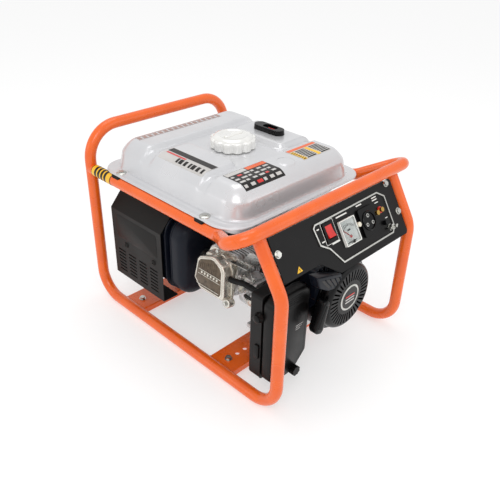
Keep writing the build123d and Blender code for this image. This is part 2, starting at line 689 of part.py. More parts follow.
END_FRAME_Y = STATOR_Y0 + STATOR_LENGTH
END_COVER_Y = 196.0
with BuildPart() as alternator_end_frame:
    with BuildSketch(facing_front(CRANK_X, END_COVER_Y - 4, CRANK_Z)):
        Circle(ALT_R)
        Circle(ALT_R - 5, mode=Mode.SUBTRACT)
    extrude(amount=END_COVER_Y - 4 - END_FRAME_Y)
    with BuildSketch(facing_front(CRANK_X, 174, CRANK_Z)):
        Circle(ALT_R)
        Circle(SHAFT_R + RUN, mode=Mode.SUBTRACT)
        with PolarLocations(52, 6):
            SlotOverall(30, 14, rotation=90, mode=Mode.SUBTRACT)
    extrude(amount=14)
    for x in ALTERNATOR_MOUNT_XS:
        with Locations((x, REAR_PLATE_Y, MOUNT_TOP_Z + 4)):
            Box(36, 40, 8)
        with Locations((x, REAR_PLATE_Y - 6, MOUNT_TOP_Z + 38)):
            Box(12, 20, 60)
    with BuildSketch(facing_front(CRANK_X, END_COVER_Y + 20, CRANK_Z)):
        Circle(ALT_R - 5)
    extrude(amount=20 + END_COVER_Y - 174, mode=Mode.SUBTRACT)
    with BuildSketch(facing_front(CRANK_X, 160, CRANK_Z)):
        Circle(ALT_R - 5)
    extrude(amount=160 - END_FRAME_Y, mode=Mode.SUBTRACT)
    for x in ALTERNATOR_MOUNT_XS:
        with Locations((x, REAR_PLATE_Y, MOUNT_TOP_Z + 8)):
            Hole(MOUNT_STUD_R, depth=10)
        with Locations((x, REAR_PLATE_Y, MOUNT_TOP_Z + 8 + 6)):
            Cylinder(9.5, 12, mode=Mode.SUBTRACT)
write(alternator_end_frame, "alternator_end_frame")

with BuildPart() as alternator_end_cover:
    with BuildSketch(facing_front(CRANK_X, END_COVER_Y + 22, CRANK_Z)):
        Circle(ALT_R)
    extrude(amount=26)
    fillet(alternator_end_cover.faces().sort_by(Axis.Y)[-1].edges(), 12)
    with BuildSketch(facing_front(CRANK_X, END_COVER_Y + 18, CRANK_Z)):
        Circle(ALT_R - 4)
    extrude(amount=22, mode=Mode.SUBTRACT)
    with BuildSketch(facing_front(CRANK_X, END_COVER_Y + 30, CRANK_Z)):
        with GridLocations(0, 12, 1, 9):
            SlotOverall(88, 5)
    extrude(amount=20, mode=Mode.SUBTRACT)
write(alternator_end_cover, "alternator_end_cover")

# ---------------------------------------------------------------- fan housing and recoil starter
SHROUD_R = 84.0
SHROUD_FRONT_Y = -262.0
LOBE_X = -42.0
LOBE_Z = 246.0


def shroud_outline(shrink):
    """Round fan housing with the lobe that leads air over the cylinder."""
    with Locations((0, 0)):
        Circle(SHROUD_R - shrink)
    with Locations((LOBE_X - CRANK_X + 8, LOBE_Z - CRANK_Z - 18)):
        RectangleRounded(70 - 2 * shrink, 78 - 2 * shrink, 12)


with BuildPart() as fan_shroud:
    with BuildSketch(facing_front(CRANK_X, CASE_FRONT_Y, CRANK_Z)):
        shroud_outline(0)
    extrude(amount=CASE_FRONT_Y - SHROUD_FRONT_Y)
    with BuildSketch(facing_front(CRANK_X, CASE_FRONT_Y, CRANK_Z)):
        shroud_outline(2.5)
    extrude(amount=CASE_FRONT_Y - SHROUD_FRONT_Y - 2.5, mode=Mode.SUBTRACT)
    with BuildSketch(facing_front(CRANK_X, SHROUD_FRONT_Y + 6, CRANK_Z)):
        Circle(60)
    extrude(amount=12, mode=Mode.SUBTRACT)
    for index in range(4):
        with BuildSketch(facing_front(-62 + index * 15, SHROUD_FRONT_Y + 6, 252)):
            SlotOverall(26, 7, rotation=90)
        extrude(amount=12, mode=Mode.SUBTRACT)
write(fan_shroud, "fan_shroud")

RECOIL_R = 75.0
RECOIL_FACE_Y = -289.0
PULLEY_R = 46.0
ROPE_R = 2.5
GRIP_X = -78.0
GRIP_Y = -290.0
GRIP_Z = 186.0
PULL_UP = 20.0             # pull direction above the horizontal
PULL_DIR = Vector(0, -cos(radians(PULL_UP)), sin(radians(PULL_UP)))
GUIDE_AT = Vector(GRIP_X, GRIP_Y, GRIP_Z) - PULL_DIR * 15.0
with BuildPart() as recoil_cover:
    with BuildSketch(facing_front(CRANK_X, SHROUD_FRONT_Y, CRANK_Z)):
        Circle(RECOIL_R)
    extrude(amount=SHROUD_FRONT_Y - RECOIL_FACE_Y)
    fillet(recoil_cover.faces().sort_by(Axis.Y)[0].edges(), 14)
    with BuildSketch(facing_front(CRANK_X, SHROUD_FRONT_Y, CRANK_Z)):
        Circle(RECOIL_R - 3)
    extrude(amount=SHROUD_FRONT_Y - RECOIL_FACE_Y - 14, mode=Mode.SUBTRACT)
    with BuildSketch(facing_front(CRANK_X, SHROUD_FRONT_Y, CRANK_Z)):
        Circle(RECOIL_R - 16)
    extrude(amount=SHROUD_FRONT_Y - RECOIL_FACE_Y - 3, mode=Mode.SUBTRACT)
    with BuildSketch(facing_front(CRANK_X, SHROUD_FRONT_Y - 4, CRANK_Z)):
        with PolarLocations(51, 36):
            SlotOverall(24, 4)
    extrude(amount=40, mode=Mode.SUBTRACT)
    with BuildSketch(facing_front(CRANK_X, SHROUD_FRONT_Y, CRANK_Z)):
        Circle(4)
    extrude(amount=SHROUD_FRONT_Y - RECOIL_FACE_Y - 3)
    # rope guide on the left of the rim
    with BuildSketch(Plane(GUIDE_AT, x_dir=(1, 0, 0), z_dir=PULL_DIR)):
        with Locations((8, 0)):
            RectangleRounded(36, 20, 5)
    extrude(amount=-7)
    with BuildSketch(Plane(GUIDE_AT, x_dir=(1, 0, 0), z_dir=PULL_DIR).offset(1)):
        Circle(3.4)
    extrude(amount=-30, mode=Mode.SUBTRACT)
write(recoil_cover, "recoil_cover")

PULLEY_BACK_Y = SHROUD_FRONT_Y - 1.0
with BuildPart() as recoil_pulley:
    with BuildSketch(facing_front(CRANK_X, PULLEY_BACK_Y, CRANK_Z)):
        Circle(PULLEY_R)
        Circle(4 + RUN, mode=Mode.SUBTRACT)
    extrude(amount=14)
    with BuildSketch(facing_front(CRANK_X, PULLEY_BACK_Y - 4, CRANK_Z)):
        Circle(PULLEY_R + 1)
        Circle(PULLEY_R - 7, mode=Mode.SUBTRACT)
    extrude(amount=6, mode=Mode.SUBTRACT)
write(recoil_pulley, "recoil_pulley")

with BuildPart() as recoil_grip:
    grip_plane = Plane((GRIP_X, GRIP_Y, GRIP_Z), x_dir=(1, 0, 0), z_dir=(0, 0, 1))
    with BuildSketch(grip_plane.offset(-50)):
        SlotOverall(30, 19)
    with BuildSketch(grip_plane.offset(-10)):
        SlotOverall(25, 17)
    with BuildSketch(grip_plane.offset(42)):
        SlotOverall(17, 13)
    loft()
    fillet(recoil_grip.faces().sort_by(Axis.Z)[-1].edges(), 3)
    fillet(recoil_grip.faces().sort_by(Axis.Z)[0].edges(), 3)
    with BuildSketch(Plane((GRIP_X, GRIP_Y, GRIP_Z), x_dir=(1, 0, 0), z_dir=-PULL_DIR)):
        Circle(8)
    extrude(amount=15)
    with BuildSketch(Plane((GRIP_X, GRIP_Y, GRIP_Z), x_dir=(1, 0, 0), z_dir=-PULL_DIR)):
        Circle(ROPE_R)
    extrude(amount=30, mode=Mode.SUBTRACT)
write(recoil_grip, "recoil_grip")

with BuildPart() as starter_rope:
    with BuildSketch(Plane((GRIP_X, GRIP_Y, GRIP_Z), x_dir=(1, 0, 0), z_dir=-PULL_DIR)):
        Circle(ROPE_R)
    extrude(amount=24)
write(starter_rope, "starter_rope")

# ---------------------------------------------------------------- fuel and air
CARB_X = -128.0
CARB_Z = 207.0
CARB_Y0 = CYL_Y - PORT_OUT
CARB_LEFT_X = CARB_X - 17.0
LEVER_X = CARB_X - 24.0
LEVER_SPOTS = [
    (CARB_Y0 - 34, CARB_Z + 15),
    (CARB_Y0 - 26, CARB_Z - 16),
    (CARB_Y0 - 18, CARB_Z + 6),
]
with BuildPart() as carburettor:
    with BuildSketch(facing_front(CARB_X, CARB_Y0, CARB_Z)):
        RectangleRounded(46, 42, 6)
    extrude(amount=8)
    with BuildSketch(facing_front(CARB_X, CARB_Y0 - 8, CARB_Z)):
        Circle(15)
    extrude(amount=36)
    with Locations((CARB_X, CARB_Y0 - 26, CARB_Z + 12)):
        Box(34, 26, 18)
    with BuildSketch(Plane.XY.offset(CARB_Z - 8)):
        with Locations((CARB_X, CARB_Y0 - 26)):
            Circle(17)
    extrude(amount=-12)
    with BuildSketch(Plane.XY.offset(CARB_Z - 20)):
        with Locations((CARB_X, CARB_Y0 - 26)):
            Circle(16)
    extrude(amount=-24, taper=12)
    with BuildSketch(facing_front(CARB_X, CARB_Y0 - 44, CARB_Z)):
        RectangleRounded(44, 40, 6)
    extrude(amount=6)
    for y, z in LEVER_SPOTS:
        with BuildSketch(Plane((CARB_LEFT_X + 2, y, z), x_dir=(0, 1, 0), z_dir=(-1, 0, 0))):
            Circle(5)
        extrude(amount=CARB_LEFT_X + 2 - LEVER_X - 0.3)
        with BuildSketch(Plane((LEVER_X, y, z), x_dir=(0, 1, 0), z_dir=(1, 0, 0))):
            Circle(2 + RUN)
        extrude(amount=7, mode=Mode.SUBTRACT)
    with BuildSketch(facing_front(CARB_X, CARB_Y0, CARB_Z)):
        Circle(10)
    extrude(amount=60, mode=Mode.SUBTRACT)
write(carburettor, "carburettor")
CARB_FACE_Y = CARB_Y0 - 50.0


def lever(spot, length, turn, width):
    """Flat stamped lever on a short spindle that runs in the carburettor body."""
    plane = Plane((LEVER_X, *spot), x_dir=(0, 1, 0), z_dir=(-1, 0, 0))
    with BuildPart() as arm:
        with BuildSketch(plane):
            Circle(4.5)
            with Locations(Location((0, 0, 0), (0, 0, turn))):
                with Locations((length / 2, 0)):
                    RectangleRounded(length, width, width / 2 - 0.1)
        extrude(amount=2.5)
        with BuildSketch(plane):
            Circle(2)
        extrude(amount=-6)
    return arm


choke_lever = lever(LEVER_SPOTS[0], 30, 150, 7)
write(choke_lever, "choke_lever")
fuel_tap_lever = lever(LEVER_SPOTS[1], 26, 180, 7)
write(fuel_tap_lever, "fuel_tap_lever")
throttle_lever = lever(LEVER_SPOTS[2], 22, 60, 6)
write(throttle_lever, "throttle_lever")

BOX_X0 = -188.5
BOX_X1 = -82.0
BOX_Y0 = -263.0
BOX_Y1 = -199.0
BOX_Z0 = 42.0
BOX_Z1 = 244.0
BOX_SPLIT_Y = -232.0
BOX_WALL = 2.5


def air_box_half(y_start, y_end, y_open):
    """One half of the air cleaner, open at y_open."""
    with BuildPart() as half:
        with BuildSketch(Plane.XZ.offset(-y_end)):
            with BuildLine():
                Polyline(
                    (BOX_X0, BOX_Z0),
                    (BOX_X0, BOX_Z1),
                    (BOX_X1, BOX_Z1),
                    (BOX_X1, BOX_Z0 + 52),
                    (BOX_X1 - 26, BOX_Z0),
                    (BOX_X0, BOX_Z0),
                )
            make_face()
        extrude(amount=y_end - y_start)
        fillet(half.edges().filter_by(Axis.Y), 9)
        closed_face = half.faces().sort_by(Axis.Y)[-1 if y_open == y_start else 0]
        fillet(closed_face.edges(), 6)
        open_face = half.faces().sort_by(Axis.Y)[0 if y_open == y_start else -1]
        offset(amount=-BOX_WALL, openings=open_face)
    return half


air_box_cover = air_box_half(BOX_Y0, BOX_SPLIT_Y, BOX_SPLIT_Y)
write(air_box_cover, "air_box_cover")
air_box_base = air_box_half(BOX_SPLIT_Y, BOX_Y1, BOX_SPLIT_Y)
with BuildPart() as air_box_base_full:
    add(air_box_base.part)
    with BuildSketch(facing_front(CARB_X, CARB_FACE_Y, CARB_Z)):
        Circle(15)
    extrude(amount=CARB_FACE_Y - BOX_Y1 + 2)
    with BuildSketch(facing_front(CARB_X, CARB_FACE_Y, CARB_Z)):
        Circle(11)
    extrude(amount=CARB_FACE_Y - BOX_Y1 + 14, mode=Mode.SUBTRACT)
write(air_box_base_full, "air_box_base")

with BuildPart() as air_filter:
    with Locations((-135, -231, 185)):
        Box(90, 52, 100)
    fillet(air_filter.edges().filter_by(Axis.Y), 8)
write(air_filter, "air_filter_element")

KNOB_X = -124.0
KNOB_Z = 52.0
with BuildPart() as air_box_knob:
    with BuildSketch(facing_front(KNOB_X, BOX_Y0 - 0.3, KNOB_Z)):
        Circle(11)
        with PolarLocations(12.5, 8):
            Circle(3, mode=Mode.SUBTRACT)
    extrude(amount=12)
write(air_box_knob, "air_box_knob")

HOSE_POINTS = [
    (-157, -105, 214),
    (-166, -128, 222),
    (-166, -160, 230),
    (-166, BOX_Y1 + 0.2, 230),
]
with BuildPart() as hose_run:
    tube(HOSE_POINTS, [20, 22], 6.0, 1.8)
    add(valve_cover.part, mode=Mode.SUBTRACT)
with BuildPart() as breather_hose:
    add(hose_run.solids().sort_by(SortBy.VOLUME)[-1])
write(breather_hose, "breather_hose")

FUEL_HOSE_POINTS = [
    (-60, -110, TANK_FLANGE_Z - TANK_SKIN - TUB_DEPTH - 0.1),
    (-60, -110, 298),
    (-62, -128, 278),
    (-84, -150, 258),
    (-110, CARB_Y0 - 26, CARB_Z + 21),
]
with BuildPart() as fuel_hose:
    tube(FUEL_HOSE_POINTS, [12, 20, 16], 4.5, 1.5)
write(fuel_hose, "fuel_hose")

LEAD_TOP = PLUG_AT + PLUG_DIR * 9.0
with BuildPart() as plug_lead:
    with BuildSketch(Plane(LEAD_TOP, z_dir=PLUG_DIR)):
        Circle(10)
        Circle(4.6, mode=Mode.SUBTRACT)
    extrude(amount=14)
    with BuildSketch(Plane(LEAD_TOP, z_dir=PLUG_DIR).offset(13)):
        Circle(9)
    extrude(amount=6)
    lead_start = LEAD_TOP + PLUG_DIR * 18
    tube(
        [
            tuple(lead_start),
            tuple(lead_start + PLUG_DIR * 12),
            (-90, -120, 292),
            (-50, -170, 280),
        ],
        [8, 25],
        3.5,
        0,
    )
write(plug_lead, "plug_lead")

# ---------------------------------------------------------------- exhaust
MUFFLER_X0 = -176.0
MUFFLER_X1 = -78.0
MUFFLER_Y0 = 6.0
MUFFLER_SEAM_Y = 62.0
MUFFLER_Y1 = 240.0
MUFFLER_Z0 = 112.0
MUFFLER_Z1 = 286.0
PIPE_START = CYL_ORIGIN + CYL_AXIS * (DECK + 20) + Vector(0, PORT_OUT, 0)
MUFFLER_CORNER = 34.0
MUFFLER_SKIN = 2.0
SHIELD_SCREWS = [(99.0, 172.0), (200.0, 172.0)]
SHIELD_IN_X = -190.0
mid_x = (MUFFLER_X0 + MUFFLER_X1) / 2
mid_z = (MUFFLER_Z0 + MUFFLER_Z1) / 2


def muffler_form(inset):
    """Closed outer form of the silencer: a drum with a domed front end."""
    wide = MUFFLER_X1 - MUFFLER_X0 - 2 * inset
    high = MUFFLER_Z1 - MUFFLER_Z0 - 2 * inset
    with BuildPart() as form:
        with BuildSketch(facing_front(mid_x, MUFFLER_Y1 - inset, mid_z)):
            RectangleRounded(wide, high, MUFFLER_CORNER - inset)
        extrude(amount=MUFFLER_Y1 - MUFFLER_SEAM_Y - inset)
        with BuildSketch(facing_front(mid_x, MUFFLER_SEAM_Y, mid_z)):
            RectangleRounded(wide, high, MUFFLER_CORNER - inset)
        extrude(amount=MUFFLER_SEAM_Y - MUFFLER_Y0 - inset, taper=20)
        fillet(form.faces().sort_by(Axis.Y)[0].edges(), 12)
    return form


muffler_outside = muffler_form(0)
muffler_inside = muffler_form(MUFFLER_SKIN)
with BuildPart() as muffler_body:
    add(muffler_outside.part)
    with BuildSketch(facing_front(mid_x, MUFFLER_SEAM_Y + 2.5, mid_z)):
        RectangleRounded(
            MUFFLER_X1 - MUFFLER_X0 + 6, MUFFLER_Z1 - MUFFLER_Z0 + 6, MUFFLER_CORNER + 3
        )
    extrude(amount=5)
    for y, z in SHIELD_SCREWS:
        with BuildSketch(Plane((MUFFLER_X0 + 1, y, z), x_dir=(0, 1, 0), z_dir=(-1, 0, 0))):
            Circle(7)
        extrude(amount=MUFFLER_X0 + 1 - SHIELD_IN_X)
    with BuildSketch(facing_front(mid_x - 20, MUFFLER_Y1 + 18, mid_z - 50)):
        Circle(13)
    extrude(amount=20)
    add(muffler_inside.part, mode=Mode.SUBTRACT)
    with BuildSketch(facing_front(mid_x - 20, MUFFLER_Y1 + 19, mid_z - 50)):
        Circle(11)
    extrude(amount=30, mode=Mode.SUBTRACT)
    with BuildSketch(Plane(PIPE_START, x_dir=(1, 0, 0), z_dir=(0, 1, 0))):
        Circle(11)
    extrude(amount=40, mode=Mode.SUBTRACT)
write(muffler_body, "muffler_body")

SHIELD_X = SHIELD_IN_X - 0.75
SHIELD_Y0 = 68.0
SHIELD_Y1 = 250.0
SHIELD_POINTS = [
    (-92.0, 298.0),
    (-152.0, 298.0),
    (SHIELD_X, 254.0),
    (SHIELD_X, 80.0),
    (-150.0, 80.0),
]
with BuildPart() as heat_shield:
    with BuildSketch(Plane.XZ.offset(-SHIELD_Y1)):
        with BuildLine() as shield_line:
            Polyline(*SHIELD_POINTS)
        trace(shield_line.line, line_width=1.5)
    extrude(amount=SHIELD_Y1 - SHIELD_Y0)
    for row in range(7):
        for col in range(4):
            with BuildSketch(Plane.YZ.offset(SHIELD_X - 5)):
                with Locations((SHIELD_Y0 + 32 + col * 40, 96 + row * 9)):
                    SlotOverall(28, 3.6)
            extrude(amount=10, mode=Mode.SUBTRACT)
write(heat_shield, "heat_shield")

with BuildPart() as exhaust_pipe:
    with BuildSketch(Plane(PIPE_START, x_dir=(1, 0, 0), z_dir=(0, 1, 0))):
        RectangleRounded(54, 32, 8)
        Circle(11, mode=Mode.SUBTRACT)
    extrude(amount=7)
    with BuildSketch(Plane(PIPE_START + Vector(0, 7, 0), x_dir=(1, 0, 0), z_dir=(0, 1, 0))):
        Circle(13)
        Circle(11, mode=Mode.SUBTRACT)
    extrude(amount=MUFFLER_Y0 - PIPE_START.Y - 7)
write(exhaust_pipe, "exhaust_pipe")

# ---------------------------------------------------------------- control panel
PANEL_W = 378.0
PANEL_S0 = -12.0
PANEL_S1 = 112.0
PANEL_T = 2.0
PANEL_SCREWS = [(-180.0, 78.0), (179.0, 40.0), (169.0, 105.0)]
ROCKER_AT = (-38.0, 70.0)
METER_AT = (13.0, 53.0)
SOCKET_AT = (76.0, 53.0)
AC_BUTTON_AT = (43.5, 56.0)
DC_BUTTON_AT = (126.0, 32.0)
DC_POSTS_AT = [(108.0, 59.0), (124.0, 61.0)]
EARTH_AT = (137.0, 18.0)
PANEL_STEP_X = -44.0
PANEL_STEP_S = 24.0
PANEL_OUTLINE = [
    (PANEL_W / 2, PANEL_S1),
    (-PANEL_W / 2, PANEL_S1),
    (-PANEL_W / 2, PANEL_STEP_S),
    (PANEL_STEP_X - 46, PANEL_STEP_S),
    (PANEL_STEP_X, PANEL_S0),
    (PANEL_W / 2, PANEL_S0),
]
with BuildPart() as control_panel:
    with BuildSketch(on_panel(0, 0, -PANEL_T)) as panel_sketch:
        with BuildLine():
            Polyline(*PANEL_OUTLINE, close=True)
        make_face()
        fillet(panel_sketch.vertices(), 9)
    extrude(amount=PANEL_T)
    # folded lips along the top edge and the low part of the bottom edge
    with BuildSketch(on_panel(0, PANEL_S1 - 2, -PANEL_T)):
        Rectangle(PANEL_W - 24, 2)
    extrude(amount=-22)
    with BuildSketch(on_panel((PANEL_W / 2 + PANEL_STEP_X) / 2, PANEL_S0 + 2, -PANEL_T)):
        Rectangle(PANEL_W / 2 - PANEL_STEP_X - 24, 2)
    extrude(amount=-22)
    cuts = [(ROCKER_AT, 24, 30), (METER_AT, 40, 40), (SOCKET_AT, 42, 42)]
    for (x, up), width, height in cuts:
        with BuildSketch(on_panel(x, up, 1)):
            Rectangle(width, height)
        extrude(amount=-6, mode=Mode.SUBTRACT)
    # raised frame and well of the rocker switch
    with BuildSketch(on_panel(*ROCKER_AT)):
        RectangleRounded(31, 38, 3)
        Rectangle(20, 27, mode=Mode.SUBTRACT)
    extrude(amount=2.5)
    with BuildSketch(on_panel(*ROCKER_AT)):
        Rectangle(24, 31)
        Rectangle(20, 27, mode=Mode.SUBTRACT)
    extrude(amount=-20)
    for x, up in [AC_BUTTON_AT, DC_BUTTON_AT]:
        with BuildSketch(on_panel(x, up, 1)):
            Circle(5)
        extrude(amount=-6, mode=Mode.SUBTRACT)
    for x, up in DC_POSTS_AT + [EARTH_AT] + PANEL_SCREWS:
        with BuildSketch(on_panel(x, up, 1)):
            Circle(3)
        extrude(amount=-6, mode=Mode.SUBTRACT)
write(control_panel, "control_panel")

BEZEL_POINTS = [
    (-72, 96), (130, 98), (151, 84), (151, 16), (140, 4), (-30, 3), (-55, 40), (-76, 54), (-79, 90),
]
with BuildPart() as panel_bezel:
    with BuildSketch(on_panel(0, 0, 0)):
        with BuildLine():
            Polyline(*BEZEL_POINTS, close=True)
        make_face()
        offset(amount=-3.0, mode=Mode.SUBTRACT)
    extrude(amount=2.5)
write(panel_bezel, "panel_bezel")

with BuildPart() as flange_bolts:
    for x, up in PANEL_SCREWS:
        hex_bolt(on_panel(x, up), 10, 3, 7.5)
    for side in (-1, 1):
        for y in TANK_BOLT_YS:
            hex_bolt(Plane((side * TANK_BOLT_X, y, TANK_FLANGE_Z)), 12, 3, 7.5)
write(flange_bolts, "flange_bolts")

ROCKER_TILT = 10.0
ROCKER_PIVOT_OUT = -4.0
with BuildPart() as rocker_switch:
    pivot = on_panel(ROCKER_AT[0], ROCKER_AT[1], ROCKER_PIVOT_OUT)
    paddle = pivot.rotated((-ROCKER_TILT, 0, 0))
    side_plane = Plane(paddle.origin - paddle.x_dir * 9.6, x_dir=paddle.y_dir, z_dir=paddle.x_dir)
    with BuildSketch(side_plane):
        with BuildLine():
            Polyline((-12.2, 8.2), (-10.6, -2), (10.6, -2), (12.2, 8.2))
            ThreePointArc((12.2, 8.2), (0, 6.6), (-12.2, 8.2))
        make_face()
    extrude(amount=19.2)
write(rocker_switch, "rocker_switch")

with BuildPart() as voltmeter_case:
    with BuildSketch(on_panel(*METER_AT, 0)):
        RectangleRounded(47, 52, 2)
    extrude(amount=6)
    with BuildSketch(on_panel(*METER_AT, 0)):
        Rectangle(40, 40)
    extrude(amount=-24)
    with BuildSketch(on_panel(*METER_AT, 6)):
        Rectangle(43, 48)
    extrude(amount=-4.5, mode=Mode.SUBTRACT)
    with BuildSketch(on_panel(METER_AT[0], METER_AT[1] - 10, 1.5)):
        Circle(1.5 + RUN)
    extrude(amount=-4, mode=Mode.SUBTRACT)
write(voltmeter_case, "voltmeter_case")

with BuildPart() as voltmeter_needle:
    needle_plane = on_panel(METER_AT[0], METER_AT[1] - 10, -2)
    with BuildSketch(needle_plane):
        Circle(1.5)
    extrude(amount=4.6)
    with BuildSketch(needle_plane.offset(4.2)):
        Circle(3)
        with Locations(Location((0, 0, 0), (0, 0, 135))):
            with Locations((10, 0)):
                Rectangle(22, 1.0)
    extrude(amount=0.7)
write(voltmeter_needle, "voltmeter_needle")

PIN_CIRCLE = [(0.0, 16.0), (-12.7, -12.0), (12.7, -12.0)]
with BuildPart() as ac_socket:
    with BuildSketch(on_panel(*SOCKET_AT, 0)):
        RectangleRounded(50, 58, 4)
    extrude(amount=5)
    with BuildSketch(on_panel(*SOCKET_AT, 0)):
        Rectangle(42, 42)
    extrude(amount=-24)
    for dx, dy in PIN_CIRCLE:
        with BuildSketch(on_panel(SOCKET_AT[0] + dx, SOCKET_AT[1] + dy, 5)):
            Circle(4.4 if dy > 0 else 3.6)
        extrude(amount=-20, mode=Mode.SUBTRACT)
write(ac_socket, "ac_socket")

with BuildPart() as dc_terminals:
    for x, up in DC_POSTS_AT:
        with BuildSketch(on_panel(x, up, 0)):
            Circle(5)
        extrude(amount=8)
        with BuildSketch(on_panel(x, up, 0)):
            Circle(3)
        extrude(amount=-12)
write(dc_terminals, "dc_terminals")


def breaker_button(x, up):
    """Round push button with a hidden collar behind the panel."""
    with BuildPart() as button:
        with BuildSketch(on_panel(x, up, -PANEL_T - 6.5)):
            Circle(5 - RUN * 2)
        extrude(amount=PANEL_T + 13.5)
        with BuildSketch(on_panel(x, up, -PANEL_T - 6.5)):
            Circle(5.8)
        extrude(amount=3)
    return button


ac_breaker_button = breaker_button(*AC_BUTTON_AT)
write(ac_breaker_button, "ac_breaker_button")
dc_breaker_button = breaker_button(*DC_BUTTON_AT)
write(dc_breaker_button, "dc_breaker_button")

with BuildPart() as earth_stud:
    with BuildSketch(on_panel(*EARTH_AT, -10)):
        Circle(3)
    extrude(amount=28)
    with BuildSketch(on_panel(*EARTH_AT, 0)):
        Circle(7)
        Circle(2.9, mode=Mode.SUBTRACT)
    extrude(amount=1.5)
write(earth_stud, "earth_stud")

with BuildPart() as earth_nut:
    with BuildSketch(on_panel(*EARTH_AT, 1.8)):
        Circle(6)
    extrude(amount=8)
    with BuildSketch(on_panel(*EARTH_AT, 4)):
        SlotOverall(26, 4)
    extrude(amount=8)
    with BuildSketch(on_panel(*EARTH_AT, 1)):
        Circle(3 + RUN)
    extrude(amount=20, mode=Mode.SUBTRACT)
write(earth_nut, "earth_nut")
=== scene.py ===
"""Looks of an open-frame portable generator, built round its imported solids."""

import logging
import math
from dataclasses import dataclass, field
from enum import Enum

import bpy
import numpy as np
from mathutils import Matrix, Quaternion, Vector


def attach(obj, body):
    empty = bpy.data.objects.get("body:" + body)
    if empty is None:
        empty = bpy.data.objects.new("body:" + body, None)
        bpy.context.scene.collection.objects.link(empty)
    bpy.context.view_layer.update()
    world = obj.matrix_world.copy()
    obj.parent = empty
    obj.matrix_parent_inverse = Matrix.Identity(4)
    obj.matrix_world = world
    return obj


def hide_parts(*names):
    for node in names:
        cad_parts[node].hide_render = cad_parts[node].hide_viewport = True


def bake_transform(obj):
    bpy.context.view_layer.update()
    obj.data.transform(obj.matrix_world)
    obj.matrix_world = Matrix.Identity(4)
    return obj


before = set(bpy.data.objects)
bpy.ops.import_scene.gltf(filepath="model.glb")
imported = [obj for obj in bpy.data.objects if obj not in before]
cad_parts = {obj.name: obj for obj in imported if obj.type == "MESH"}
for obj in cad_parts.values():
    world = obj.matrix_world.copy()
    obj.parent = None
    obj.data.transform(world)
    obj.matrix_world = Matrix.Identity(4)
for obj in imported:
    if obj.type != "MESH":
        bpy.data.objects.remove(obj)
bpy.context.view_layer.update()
LOG = logging.getLogger("generator")
MM = 0.001


# ------------------------------------------------------------------ finishes
def srgb(code: str) -> tuple[float, float, float, float]:
    """Turns a hex sRGB colour into linear RGBA.

    Args:
        code: six hex digits with a leading hash.

    Returns:
        Linear red, green, blue and an alpha of one.
    """
    values = [int(code[i : i + 2], 16) / 255 for i in (1, 3, 5)]
    linear = [v / 12.92 if v <= 0.04045 else ((v + 0.055) / 1.055) ** 2.4 for v in values]
    return (*linear, 1.0)


class Grain(Enum):
    """Kinds of fine surface relief."""

    PEEL = "peel"
    CAST = "cast"
    TEXTURED = "textured"
    BRUSHED = "brushed"
    BRAID = "braid"
    FOAM = "foam"
    SMOOTH = "smooth"


